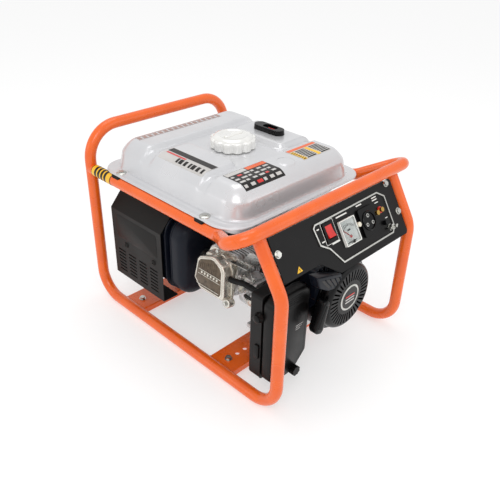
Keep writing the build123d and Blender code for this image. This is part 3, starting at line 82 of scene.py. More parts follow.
@dataclass(frozen=True)
class Finish:
    """One procedural finish: two close tones, gloss, and a relief with a real size in millimetres."""

    name: str
    base: str
    tone: str
    roughness: float
    metallic: float = 0.0
    coat: float = 0.0
    grain: Grain = Grain.SMOOTH
    grain_mm: float = 1.0
    relief_mm: float = 0.02
    patch_mm: float = 40.0
    patch: float = 0.35
    shine: float = 0.5
    clear: bool = False

    def build(self) -> bpy.types.Material:
        """Makes the node material.

        Returns:
            The material, made once per finish.
        """
        found = bpy.data.materials.get(f"look_{self.name}")
        if found:
            return found
        material = bpy.data.materials.new(f"look_{self.name}")
        material.use_nodes = True
        tree = material.node_tree
        shader = tree.nodes["Principled BSDF"]
        place = tree.nodes.new("ShaderNodeTexCoord")
        shader.inputs["Metallic"].default_value = self.metallic
        shader.inputs["Specular IOR Level"].default_value = self.shine
        shader.inputs["Coat Weight"].default_value = self.coat
        shader.inputs["Coat Roughness"].default_value = 0.12
        if self.clear:
            shader.inputs["Transmission Weight"].default_value = 1.0
            shader.inputs["IOR"].default_value = 1.3
        patches = tree.nodes.new("ShaderNodeTexNoise")
        patches.inputs["Scale"].default_value = 1.0 / (self.patch_mm * MM)
        patches.inputs["Detail"].default_value = 5.0
        tree.links.new(place.outputs["Object"], patches.inputs["Vector"])
        tones = tree.nodes.new("ShaderNodeMix")
        tones.data_type = "RGBA"
        tones.inputs["A"].default_value = srgb(self.base)
        tones.inputs["B"].default_value = srgb(self.tone)
        share = tree.nodes.new("ShaderNodeMapRange")
        share.inputs["From Min"].default_value = 0.35
        share.inputs["From Max"].default_value = 0.75
        share.inputs["To Max"].default_value = self.patch * 2
        tree.links.new(patches.outputs["Fac"], share.inputs["Value"])
        tree.links.new(share.outputs["Result"], tones.inputs["Factor"])
        tree.links.new(tones.outputs["Result"], shader.inputs["Base Color"])
        gloss = tree.nodes.new("ShaderNodeMapRange")
        gloss.inputs["From Min"].default_value = 0.3
        gloss.inputs["From Max"].default_value = 0.7
        gloss.inputs["To Min"].default_value = max(self.roughness - 0.05, 0.02)
        gloss.inputs["To Max"].default_value = self.roughness + 0.07
        tree.links.new(patches.outputs["Fac"], gloss.inputs["Value"])
        tree.links.new(gloss.outputs["Result"], shader.inputs["Roughness"])
        if self.grain is not Grain.SMOOTH:
            self._relief(tree, place, shader)
        return material

    def _relief(
        self, tree: bpy.types.NodeTree, place: bpy.types.Node, shader: bpy.types.Node
    ) -> None:
        """Adds the fine bump.

        Args:
            tree: the material's node tree.
            place: the texture coordinate node.
            shader: the surface shader that takes the normal.
        """
        source, output = place.outputs["Object"], "Fac"
        if self.grain is Grain.BRAID:
            pattern = tree.nodes.new("ShaderNodeTexWave")
            pattern.bands_direction = "DIAGONAL"
            pattern.inputs["Distortion"].default_value = 1.5
            pattern.inputs["Detail"].default_value = 1.0
            scale = 0.35
        elif self.grain is Grain.FOAM:
            pattern = tree.nodes.new("ShaderNodeTexVoronoi")
            output, scale = "Distance", 1.0
        else:
            pattern = tree.nodes.new("ShaderNodeTexNoise")
            pattern.inputs["Detail"].default_value = 6.0 if self.grain is Grain.CAST else 2.0
            scale = 1.0
        if self.grain is Grain.BRUSHED:
            stretch = tree.nodes.new("ShaderNodeMapping")
            stretch.inputs["Scale"].default_value = (1.0, 0.06, 1.0)
            tree.links.new(source, stretch.inputs["Vector"])
            source = stretch.outputs["Vector"]
        pattern.inputs["Scale"].default_value = scale / (self.grain_mm * MM)
        tree.links.new(source, pattern.inputs["Vector"])
        bump = tree.nodes.new("ShaderNodeBump")
        bump.inputs["Strength"].default_value = 0.6
        bump.inputs["Distance"].default_value = self.relief_mm * MM
        tree.links.new(pattern.outputs[output], bump.inputs["Height"])
        tree.links.new(bump.outputs["Normal"], shader.inputs["Normal"])


DULL = 0.22  # specular level of the dark paints and plastics
ORANGE = Finish("orange_powder", "#EC6414", "#DF560A", 0.26, 0.0, 0.25, Grain.PEEL, 1.6, 0.03)
SILVER = Finish("tank_silver", "#D6D6D8", "#C9CACD", 0.30, 0.4, 0.45, Grain.PEEL, 1.2, 0.008, 90.0)
BLACK_METAL = Finish("black_steel", "#060506", "#0A0909", 0.30, 0.0, 0.0, Grain.PEEL, 1.4, 0.03, shine=DULL)
SHROUD = Finish("shroud_paint", "#0C111B", "#10151F", 0.34, 0.0, 0.0, Grain.PEEL, 1.4, 0.03, shine=DULL)
HOT = Finish("hot_paint", "#0C111D", "#141822", 0.40, 0.2, 0.04, Grain.CAST, 1.8, 0.05, shine=DULL)
SHIELD = Finish(
    "shield_paint", "#0D0B09", "#15110E", 0.44, 0.0, 0.03, Grain.TEXTURED, 0.9, 0.05, 60.0, 0.4, shine=DULL
)
ZINC = Finish("zinc_plate", "#D2D2CE", "#A9A8A0", 0.24, 1.0, 0.0, Grain.BRUSHED, 1.2, 0.01, 8.0)
STEEL = Finish("ground_steel", "#8F8F8F", "#77736E", 0.34, 1.0, 0.0, Grain.BRUSHED, 0.9, 0.01, 15.0)
ALLOY = Finish("cast_alloy", "#DEDEDF", "#B4B2AE", 0.30, 0.65, 0.1, Grain.CAST, 1.1, 0.09, 14.0, 0.5)
COVER_ALLOY = Finish("cover_alloy", "#E2DED4", "#B9B0A0", 0.26, 0.75, 0.1, Grain.CAST, 0.9, 0.05, 18.0)
COVER_FACE = Finish("cover_face", "#665848", "#463C32", 0.36, 0.6, 0.1, Grain.CAST, 0.7, 0.08, 9.0, 0.5)
LAMINATION = Finish("lamination", "#3A3532", "#5A3A22", 0.5, 0.6, 0.0, Grain.BRUSHED, 0.6, 0.05, 12.0)
BLACK = Finish("black_plastic", "#070606", "#0B0A0A", 0.34, 0.0, 0.0, Grain.TEXTURED, 0.55, 0.035, shine=DULL)
GLOSS = Finish("gloss_black", "#050506", "#08080A", 0.24, 0.0, 0.0, Grain.PEEL, 2.5, 0.01, shine=DULL)
CAP = Finish("cap_pearl", "#F1F0EC", "#D9D9D8", 0.16, 0.35, 0.7, Grain.PEEL, 3.0, 0.01, 25.0)
RED = Finish("red_plastic", "#D8201A", "#B81712", 0.22, 0.0, 0.4, Grain.PEEL, 1.2, 0.01, 12.0)
WHITE = Finish("white_plastic", "#EDEDE8", "#DBDAD3", 0.3, 0.0, 0.2, Grain.PEEL, 1.5, 0.01, 20.0, 0.2)
CREAM = Finish("cream_plastic", "#E6E0CE", "#CFC8B2", 0.32, 0.0, 0.1, Grain.PEEL, 1.2, 0.01, 10.0)
RUBBER = Finish("rubber", "#0B0B0C", "#121112", 0.6, 0.0, 0.0, Grain.TEXTURED, 0.7, 0.05, 20.0, shine=DULL)
ROPE = Finish("rope", "#D8D3C5", "#8F8B80", 0.8, 0.0, 0.0, Grain.BRAID, 1.4, 0.3, 4.0, 0.5)
FOAM = Finish("filter_foam", "#2E2D2A", "#1A1918", 0.9, 0.0, 0.0, Grain.FOAM, 1.6, 0.6, 8.0)
BRASS = Finish("brass", "#C9A45A", "#A17F3C", 0.28, 1.0, 0.0, Grain.BRUSHED, 0.8, 0.01, 8.0)
NEEDLE = Finish("needle_red", "#D51C14", "#B01209", 0.35, 0.0, 0.1, Grain.PEEL, 0.6, 0.005, 5.0)
PRINT_ORANGE = Finish("print_orange", "#E9662A", "#D9541C", 0.4, 0.0, 0.2, Grain.PEEL, 1.0, 0.005)
PRINT_YELLOW = Finish("print_yellow", "#F2BE1D", "#E0A90F", 0.4, 0.0, 0.2, Grain.PEEL, 1.0, 0.005)
PRINT_RUST = Finish("print_rust", "#A8867C", "#93736A", 0.4, 0.0, 0.2, Grain.PEEL, 1.0, 0.005)
# Black ink for print, also used as painted shade: the socket holes and the louvre slots are flat black plates
# in this colour.
PRINT_AND_SHADE_BLACK = Finish("print_and_shade_black", "#171514", "#24201E", 0.4, 0.0, 0.2, Grain.PEEL, 1.0, 0.005, shine=DULL)
PRINT_GREY = Finish("print_grey", "#C9C6C3", "#B4B0AC", 0.4, 0.1, 0.2, Grain.PEEL, 1.0, 0.005)
LENS = Finish("clear_lens", "#F4F7F8", "#EDF2F3", 0.06, 0.0, 0.0, Grain.SMOOTH, clear=True)

NODE_FINISH: dict[Finish, tuple[str, ...]] = {
    ORANGE: (
        "left_side_hoop", "right_side_hoop", "rear_handle", "top_rail_and_front_handle",
        "front_cross_plate", "rear_cross_plate",
    ),
    SILVER: ("tank_lower_shell", "tank_upper_shell"),
    BLACK_METAL: ("control_panel",),
    SHROUD: ("fan_shroud",),
    HOT: ("muffler_body",),
    SHIELD: ("heat_shield",),
    ZINC: (
        "frame_bolts", "flange_bolts", "choke_lever", "throttle_lever", "panel_bezel",
        "earth_stud", "earth_nut",
    ),
    STEEL: ("crankshaft", "exhaust_pipe"),
    ALLOY: (
        "crankcase", "cylinder_head", "piston", "flywheel", "alternator_bell",
        "alternator_end_frame", "carburettor",
    ),
    COVER_ALLOY: ("valve_cover",),
    LAMINATION: ("rotor", "stator"),
    BLACK: (
        "alternator_end_cover", "recoil_pulley", "fuel_tap_lever", "air_box_base",
        "air_box_cover", "air_box_knob", "oil_dipstick", "gauge_float",
    ),
    GLOSS: ("gauge_housing", "recoil_cover", "recoil_grip", "ac_socket", "dc_breaker_button"),
    CAP: ("fuel_cap",),
    RED: ("rocker_switch",),
    WHITE: ("voltmeter_case", "spark_plug"),
    CREAM: ("ac_breaker_button",),
    RUBBER: ("rubber_feet", "engine_mounts", "tank_pads", "plug_lead", "breather_hose", "fuel_hose"),
    ROPE: ("starter_rope",),
    FOAM: ("air_filter_element",),
    BRASS: ("dc_terminals",),
    NEEDLE: ("gauge_needle", "voltmeter_needle"),
}


def dress_nodes() -> None:
    """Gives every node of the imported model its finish."""
    for finish, names in NODE_FINISH.items():
        for name in names:
            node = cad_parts[name]
            node.data.materials.clear()
            node.data.materials.append(finish.build())
    LOG.info("dressed %d nodes", sum(len(names) for names in NODE_FINISH.values()))


# ------------------------------------------------------------------ shaping tools
@dataclass(frozen=True)
class Plane:
    """A work plane in millimetres: its origin and its two in-plane directions."""

    origin: tuple[float, float, float]
    along: tuple[float, float, float]
    up: tuple[float, float, float]

    @property
    def normal(self) -> Vector:
        """The plane's outward direction."""
        return Vector(self.along).cross(Vector(self.up)).normalized()

    def at(self, u: float, v: float, out: float = 0.0) -> Vector:
        """Finds a point on or above the plane.

        Args:
            u: distance along the first direction.
            v: distance along the second direction.
            out: distance off the plane.

        Returns:
            The point in metres.
        """
        along, up = Vector(self.along).normalized(), Vector(self.up).normalized()
        return (Vector(self.origin) + along * u + up * v + self.normal * out) * MM


def clear_selection() -> None:
    """Leaves edit mode and deselects everything, because an operator acts on all that is selected."""
    if bpy.context.object and bpy.context.object.mode != "OBJECT":
        bpy.ops.object.mode_set(mode="OBJECT")
    bpy.ops.object.select_all(action="DESELECT")


def only(piece: bpy.types.Object) -> None:
    """Selects one piece and makes it active.

    Args:
        piece: the object to work on.
    """
    clear_selection()
    piece.select_set(True)
    bpy.context.view_layer.objects.active = piece


def finished(piece: bpy.types.Object, name: str, finish: Finish, body: str = "frame") -> bpy.types.Object:
    """Names a piece, gives it its finish and hangs it on a body.

    Args:
        piece: the mesh, already in place.
        name: its name.
        finish: its finish.
        body: the moving body that it rides on.

    Returns:
        The same piece.
    """
    piece.name = name
    piece.data.name = name
    if not piece.data.materials:
        piece.data.materials.append(finish.build())
    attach(piece, body)
    return piece


def soften(piece: bpy.types.Object, width: float, segments: int = 2, angle: float = 35.0) -> None:
    """Rounds the sharp edges and shades the rest smooth.

    Args:
        piece: the mesh.
        width: bevel width in millimetres, or zero for none.
        segments: bevel segments.
        angle: edges sharper than this are rounded.
    """
    only(piece)
    if width > 0:
        bevel = piece.modifiers.new("edge", "BEVEL")
        bevel.width = width * MM
        bevel.segments = segments
        bevel.limit_method = "ANGLE"
        bevel.angle_limit = math.radians(angle)
        bevel.use_clamp_overlap = True
        bpy.ops.object.modifier_apply(modifier="edge")
    bpy.ops.object.shade_smooth_by_angle(angle=math.radians(40))


def prism(
    plane: Plane, points: list[tuple[float, float]], low: float, high: float, bevel: float = 0.6,
    segments: int = 2,
) -> bpy.types.Object:
    """Draws an outline on a plane and pulls it out into a solid.

    Args:
        plane: the work plane.
        points: the outline, counter-clockwise, in millimetres.
        low: start distance off the plane.
        high: end distance off the plane.
        bevel: edge rounding in millimetres.
        segments: bevel segments.

    Returns:
        The solid.
    """
    clear_selection()
    bpy.ops.mesh.primitive_circle_add(vertices=len(points), fill_type="NGON", radius=1)
    piece = bpy.context.object
    for vertex, (u, v) in zip(piece.data.vertices, points):
        vertex.co = plane.at(u, v, low)
    bpy.ops.object.mode_set(mode="EDIT")
    bpy.ops.mesh.select_all(action="SELECT")
    pull = plane.normal * ((high - low) * MM)
    bpy.ops.mesh.extrude_region_move(TRANSFORM_OT_translate={"value": pull})
    bpy.ops.mesh.select_all(action="SELECT")
    bpy.ops.mesh.normals_make_consistent(inside=False)
    bpy.ops.object.mode_set(mode="OBJECT")
    soften(piece, bevel, segments)
    return piece


def rounded(
    wide: float, high: float, radius: float, at: tuple[float, float] = (0, 0), steps: int = 6
) -> list[tuple[float, float]]:
    """Outline of a rectangle with round corners.

    Args:
        wide: full width in millimetres.
        high: full height.
        radius: corner radius.
        at: centre.
        steps: segments in each corner.

    Returns:
        Outline points, counter-clockwise.
    """
    points = []
    for corner in range(4):
        sx, sy = ((1, 1), (-1, 1), (-1, -1), (1, -1))[corner]
        cx, cy = at[0] + sx * (wide / 2 - radius), at[1] + sy * (high / 2 - radius)
        for step in range(steps + 1):
            turn = math.pi / 2 * (corner + step / steps)
            points.append((cx + radius * math.cos(turn), cy + radius * math.sin(turn)))
    return points


def ring_points(
    radius: float, count: int, at: tuple[float, float] = (0, 0), lobe: float = 0.0, lobes: int = 0
) -> list[tuple[float, float]]:
    """Outline of a circle, with lobes if asked.

    Args:
        radius: outer radius in millimetres.
        count: number of points.
        at: centre.
        lobe: depth of the scallops.
        lobes: number of scallops.

    Returns:
        Outline points, counter-clockwise.
    """
    points = []
    for index in range(count):
        turn = 2 * math.pi * index / count
        dip = lobe * (0.5 - 0.5 * math.cos(turn * lobes)) ** 2.2 if lobes else 0.0
        points.append((at[0] + (radius - dip) * math.cos(turn), at[1] + (radius - dip) * math.sin(turn)))
    return points


def lathe(
    plane: Plane, profile: list[tuple[float, float]], at: tuple[float, float] = (0, 0), steps: int = 48
) -> bpy.types.Object:
    """Spins a closed profile round the plane's normal.

    Args:
        plane: the work plane.
        profile: closed outline as (radius, distance off the plane) pairs.
        at: where the axis crosses the plane.
        steps: segments in the full turn.

    Returns:
        The turned solid.
    """
    clear_selection()
    bpy.ops.mesh.primitive_circle_add(vertices=len(profile), fill_type="NOTHING", radius=1)
    piece = bpy.context.object
    for vertex, (radius, out) in zip(piece.data.vertices, profile):
        vertex.co = plane.at(at[0] + radius, at[1], out)
    bpy.ops.object.mode_set(mode="EDIT")
    bpy.ops.mesh.select_all(action="SELECT")
    bpy.ops.mesh.spin(
        steps=steps, angle=2 * math.pi, center=plane.at(*at), axis=plane.normal, use_auto_merge=True
    )
    bpy.ops.mesh.select_all(action="SELECT")
    bpy.ops.mesh.remove_doubles(threshold=2e-6)
    bpy.ops.mesh.dissolve_degenerate(threshold=1e-6)
    bpy.ops.mesh.select_all(action="SELECT")
    bpy.ops.mesh.normals_make_consistent(inside=False)
    bpy.ops.object.mode_set(mode="OBJECT")
    soften(piece, 0)
    return piece


def wire(points: list[tuple[float, float, float]], radius: float, closed: bool = False) -> bpy.types.Object:
    """Runs a round wire through points, smoothed at each corner.

    Args:
        points: corners in millimetres.
        radius: wire radius in millimetres.
        closed: whether it joins up.

    Returns:
        The wire as a mesh.
    """
    clear_selection()
    curve = bpy.data.curves.new("run", "CURVE")
    curve.dimensions = "3D"
    curve.bevel_depth = radius * MM
    curve.bevel_resolution = 3
    curve.use_fill_caps = not closed
    curve.resolution_u = 5
    run = curve.splines.new("NURBS")
    run.points.add(len(points) - 1)
    for point, place in zip(run.points, points):
        point.co = (*(Vector(place) * MM), 1.0)
    run.order_u = 3
    run.use_endpoint_u = not closed
    run.use_cyclic_u = closed
    piece = bpy.data.objects.new("run", curve)
    bpy.context.collection.objects.link(piece)
    only(piece)
    bpy.ops.object.convert(target="MESH")
    piece = bpy.context.object
    soften(piece, 0)
    return piece


def merged(pieces: list[bpy.types.Object], name: str, body: str = "frame") -> bpy.types.Object:
    """Joins pieces of one part into one mesh.

    Args:
        pieces: the meshes.
        name: the joined mesh's name.
        body: the body that it rides on.

    Returns:
        The joined mesh.
    """
    clear_selection()
    for piece in pieces:
        piece.select_set(True)
    bpy.context.view_layer.objects.active = pieces[0]
    if len(pieces) > 1:
        bpy.ops.object.join()
    piece = bpy.context.object
    piece.name = name
    piece.data.name = name
    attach(piece, body)
    return piece


def painted(piece: bpy.types.Object, finish: Finish) -> bpy.types.Object:
    """Gives a loose mesh its finish before it is joined.

    Args:
        piece: the mesh.
        finish: the finish.

    Returns:
        The same mesh.
    """
    piece.data.materials.clear()
    piece.data.materials.append(finish.build())
    return piece


def block(
    finish: Finish, plane: Plane, points: list[tuple[float, float]], low: float, high: float,
    bevel: float = 0.6, segments: int = 2,
) -> bpy.types.Object:
    """Pulls an outline out into a solid that has its finish on.

    Args:
        finish: the finish.
        plane: the work plane.
        points: the outline, in millimetres.
        low: start distance off the plane.
        high: end distance off the plane.
        bevel: edge rounding in millimetres.
        segments: bevel segments.

    Returns:
        The painted solid.
    """
    return painted(prism(plane, points, low, high, bevel, segments), finish)


PANEL_SLOPE = 1.6
LEAN = math.atan2(PANEL_SLOPE, 1.0)
PANEL_UP = (0.0, math.cos(LEAN), math.sin(LEAN))
PANEL_OUT = (0.0, -math.sin(LEAN), math.cos(LEAN))
PANEL = Plane((0.0, -293.0 + PANEL_OUT[1] * 4, 277.0 + PANEL_OUT[2] * 4), (1, 0, 0), PANEL_UP)


def front_plane(y: float) -> Plane:
    """Upright plane that faces the panel side.

    Args:
        y: its place in millimetres.

    Returns:
        The plane, with X along it and Z up it.
    """
    return Plane((0, y, 0), (1, 0, 0), (0, 0, 1))


def side_plane(x: float) -> Plane:
    """Upright plane that faces the muffler side.

    Args:
        x: its place in millimetres.

    Returns:
        The plane, with -Y along it and Z up it.
    """
    return Plane((x, 0, 0), (0, -1, 0), (0, 0, 1))


def level_plane(z: float) -> Plane:
    """Level plane that faces up.

    Args:
        z: its height in millimetres.

    Returns:
        The plane, with X along it and Y up it.
    """
    return Plane((0, 0, z), (1, 0, 0), (0, 1, 0))


FLOOR = level_plane(0)


# ------------------------------------------------------------------ tank
def inside(
    x: np.ndarray, y: np.ndarray, wide: float, high: float, radius: float, at: tuple[float, float]
) -> np.ndarray:
    """Depth inside a rounded rectangle.

    Args:
        x: X values in millimetres.
        y: Y values.
        wide: rectangle width.
        high: rectangle height.
        radius: corner radius.
        at: centre.

    Returns:
        Distance inside the outline, negative outside it.
    """
    qx = np.abs(x - at[0]) - wide / 2 + radius
    qy = np.abs(y - at[1]) - high / 2 + radius
    outside = np.hypot(np.maximum(qx, 0), np.maximum(qy, 0)) + np.minimum(np.maximum(qx, qy), 0)
    return radius - outside


def ease(value: np.ndarray) -> np.ndarray:
    """Smooth step from zero to one.

    Args:
        value: the input, clipped to that range.

    Returns:
        The eased value.
    """
    t = np.clip(value, 0, 1)
    return t * t * (3 - 2 * t)


@dataclass
class Tank:
    """Pressed steel tank top with raised pads, seam flange and printed labels."""

    wide: float = 414.0
    long: float = 426.0
    middle: float = 47.0
    flange_z: float = 358.4
    dome_wide: float = 366.0
    dome_long: float = 402.0
    wall_rise: float = 26.0
    crown_rise: float = 24.4
    pad_rise: float = 10.0
    sheet: float = 1.2
    pads: list[tuple[float, ...]] = field(
        default_factory=lambda: [
            (-290.0, -64.0, -38.0, 118.0, 18.0),
            (64.0, 290.0, -38.0, 118.0, 18.0),
            (-290.0, 290.0, -300.0, -56.0, 26.0),
            (-290.0, 290.0, 142.0, 400.0, 26.0),
        ]
    )

    def height(self, x: np.ndarray, y: np.ndarray) -> np.ndarray:
        """Height of the pressing.

        Args:
            x: X values in millimetres.
            y: Y values.

        Returns:
            Z values in millimetres.
        """
        edge = inside(x, y, self.wide, self.long, 52, (0, self.middle))
        dome = inside(x, y, self.dome_wide, self.dome_long, 50, (0, self.middle))
        z = self.flange_z - 2.6 * (1 - ease(edge / 2.6)) + 1.2 * ease((dome + 12) / 8)
        wall = ease(dome / 10)
        ramp = 1 - (1 - np.clip((dome - 3) / 38, 0, 1)) ** 1.7
        pad = np.zeros_like(z)
        for x0, x1, y0, y1, radius in self.pads:
            depth = inside(x, y, x1 - x0, y1 - y0, radius, ((x0 + x1) / 2, (y0 + y1) / 2))
            pad = np.maximum(pad, ease((depth + 2) / 9))
        disc = 2.4 * ease((20.5 - np.hypot(x - 6, y + 103)) / 2.2)
        collar = 1.2 * ease((60 - np.hypot(x, y - 45)) / 4)
        return z + self.wall_rise * wall + (self.crown_rise + self.pad_rise * pad) * ramp + disc + collar

    def build(self) -> None:
        """Makes the pressing, its filler collar and the labels."""
        depth = np.concatenate([np.linspace(0, 6, 7), np.linspace(7, 52, 34), np.linspace(54, 176, 36)])
        around, rings = 440, len(depth) - 1
        clear_selection()
        bpy.ops.mesh.primitive_grid_add(x_subdivisions=around, y_subdivisions=rings, size=1)
        shell = bpy.context.object
        co = np.zeros(((around + 1) * (rings + 1), 3))
        turns = np.linspace(0, 1, around + 1)
        for ring, d in enumerate(depth):
            x, y = self._ring(turns, d)
            rows = slice(ring * (around + 1), (ring + 1) * (around + 1))
            co[rows, 0], co[rows, 1] = x, y
        co[:, 2] = self.height(co[:, 0], co[:, 1])
        shell.data.vertices.foreach_set("co", (co * MM).ravel())
        shell.data.update()
        only(shell)
        bpy.ops.object.mode_set(mode="EDIT")
        bpy.ops.mesh.select_all(action="SELECT")
        bpy.ops.mesh.remove_doubles(threshold=1e-6)
        bpy.ops.mesh.normals_make_consistent(inside=False)
        bpy.ops.object.mode_set(mode="OBJECT")
        if sum(p.normal.z for p in shell.data.polygons) < 0:
            shell.data.flip_normals()
        thick = shell.modifiers.new("sheet", "SOLIDIFY")
        thick.thickness = self.sheet * MM
        thick.offset = -1
        thick.use_rim = True
        bpy.ops.object.modifier_apply(modifier="sheet")
        soften(shell, 0)
        finished(shell, "tank_pressing", SILVER)
        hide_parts("tank_upper_shell")
        neck = lathe(FLOOR, [(30, 396), (37, 396), (37, 412), (41, 413.5), (41, 415), (30, 415)], (0, 45))
        finished(neck, "filler_neck", SILVER)
        seam = [(*self._ring(np.array([t]), 0.2), 355.9) for t in np.linspace(0, 1, 97)[:-1]]
        rim = wire([(float(x[0]), float(y[0]), z) for x, y, z in seam], 1.5, closed=True)
        finished(rim, "tank_rolled_rim", SILVER)
        self._labels()

    def _ring(self, turns: np.ndarray, d: float) -> tuple[np.ndarray, np.ndarray]:
        """Points of the outline moved inwards.

        Args:
            turns: positions round the outline, from zero to one.
            d: inward distance in millimetres.

        Returns:
            X and Y arrays.
        """
        radius = max(52 - d * 0.9, 6.0)
        half_x, half_y = self.wide / 2 - d, self.long / 2 - d
        radius = min(radius, half_x, half_y)
        sides = [2 * (half_y - radius), 2 * (half_x - radius)]
        spans = [0.205, 0.045] * 4
        starts = np.concatenate([[0], np.cumsum(spans)])
        x, y = np.zeros_like(turns), np.zeros_like(turns)
        corners = [(1, 1), (-1, 1), (-1, -1), (1, -1)]
        for index in range(4):
            low, mid, high = starts[2 * index], starts[2 * index + 1], starts[2 * index + 2]
            sx, sy = corners[index]
            cx, cy = sx * (half_x - radius), sy * (half_y - radius)
            on_side = (turns >= low) & (turns <= mid + 1e-9)
            share = (turns[on_side] - low) / (mid - low)
            run = (share - 1) * sides[index % 2]
            turn = math.pi / 2 * index
            x[on_side] = cx + radius * math.cos(turn) - math.sin(turn) * run
            y[on_side] = cy + radius * math.sin(turn) + math.cos(turn) * run
            on_arc = (turns > mid + 1e-9) & (turns <= high + 1e-9)
            angle = turn + math.pi / 2 * (turns[on_arc] - mid) / (high - mid)
            x[on_arc] = cx + radius * np.cos(angle)
            y[on_arc] = cy + radius * np.sin(angle)
        return x, y + self.middle

    def _patch(
        self, x0: float, x1: float, y0: float, y1: float, lift: float, finish: Finish
    ) -> bpy.types.Object:
        """Printed patch that lies on the pressing.

        Args:
            x0: low X in millimetres.
            x1: high X.
            y0: low Y.
            y1: high Y.
            lift: distance above the sheet.
            finish: ink or film finish.

        Returns:
            The patch.
        """
        nx, ny = max(int((x1 - x0) / 2.5), 2), max(int((y1 - y0) / 2.5), 2)
        clear_selection()
        bpy.ops.mesh.primitive_grid_add(x_subdivisions=nx, y_subdivisions=ny, size=1)
        patch = bpy.context.object
        co = np.zeros(((nx + 1) * (ny + 1), 3))
        gx, gy = np.meshgrid(np.linspace(x0, x1, nx + 1), np.linspace(y0, y1, ny + 1))
        co[:, 0], co[:, 1] = gx.ravel(), gy.ravel()
        co[:, 2] = self.height(co[:, 0], co[:, 1]) + lift
        patch.data.vertices.foreach_set("co", (co * MM).ravel())
        patch.data.update()
        soften(patch, 0)
        return painted(patch, finish)

    def _label(self, name: str, rows: list[tuple]) -> None:
        """Joins printed patches into one label.

        Args:
            name: the label's name.
            rows: each patch as low X, high X, low Y, high Y, lift and ink.
        """
        merged([self._patch(*row) for row in rows], name)

    def _labels(self) -> None:
        """Makes four generic labels of plain blocks and bars, and the washers under the tank bolts."""
        film, ink = 0.25, 0.45
        side = [(-158, -114, -32, 106, film, PRINT_GREY), (-131, -115, -31, 105, ink, PRINT_AND_SHADE_BLACK)]
        side.append((-140, -134, 40, 100, ink, RED))
        for index in range(7):
            low = -26 + index * 12.5
            side.append((-154, -142, low, low + 6 + (index % 3) * 2, ink, PRINT_AND_SHADE_BLACK))
        self._label("side_label", side)
        lows = [-140 + index * 14.4 for index in range(17)]
        rear = [(low, low + 9.5, 193, 203, 0.3, PRINT_RUST) for low in lows]
        rear += [(-142, 102, low, low + 1.4, 0.3, PRINT_RUST) for low in (189.5, 205.5)]
        self._label("rear_label", rear)
        left = [(-136, -26, -132, -67, film, PRINT_AND_SHADE_BLACK), (-80, -27, -80, -68, ink, PRINT_ORANGE)]
        left.append((-135, -82, -80, -68, ink, PRINT_GREY))
        for row in range(4):
            for index in range(6):
                low, top = -133 + index * 17.5, -84 - row * 12.5
                tint = RED if (row * 2 + index) % 7 == 1 else PRINT_GREY
                left.append((low, low + 8 + (row + index) % 3 * 3, top - 6, top, ink, tint))
        self._label("warning_label_left", left)
        right = [(44, 134, -120, -66, film, PRINT_GREY), (45, 133, -76, -67, ink, PRINT_ORANGE)]
        right += [(45, 56, -119, -78, ink, PRINT_YELLOW), (90, 100, -119, -78, ink, PRINT_YELLOW)]
        for row in range(7):
            low = -118 + row * 5.8
            right += [(x, x + 28, low, low + 3.4, ink, PRINT_AND_SHADE_BLACK) for x in (59, 103)]
            right.append((47, 54, low, low + 2.8, 0.6, PRINT_AND_SHADE_BLACK))
        self._label("warning_label_right", right)
        profile = [(4, 358), (11.5, 358), (11.2, 360), (8, 361.6), (4, 361.8)]
        for x in (-194, 194):
            for y in (-80, 190):
                finished(lathe(FLOOR, profile, (x, y), 40), f"tank_washer_{x}_{y}", ZINC)


@dataclass
class FillerCap:
    """Scalloped filler cap with a dished top."""

    at: tuple[float, float] = (0.0, 45.0)
    radius: float = 50.0
    base_z: float = 411.8
    top_z: float = 441.0

    def build(self) -> None:
        """Makes the cap and hangs it on its own body."""
        skirt = prism(FLOOR, ring_points(self.radius, 240, self.at, 4.5, 12), self.base_z, 434, 3.2, 4)
        crown = lathe(
            FLOOR,
            [(0, 430), (43, 430), (43, 434.6), (40, 437.6), (34, 439.4), (30, 439.2), (28, 437.4),
             (12, 438.6), (0, 439.0)],
            self.at, 72,
        )
        grip = prism(FLOOR, rounded(50, 11, 5, self.at), 437, self.top_z, 1.8, 3)
        cap = merged([painted(p, CAP) for p in (skirt, crown, grip)], "filler_cap", "cap")
        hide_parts("fuel_cap")


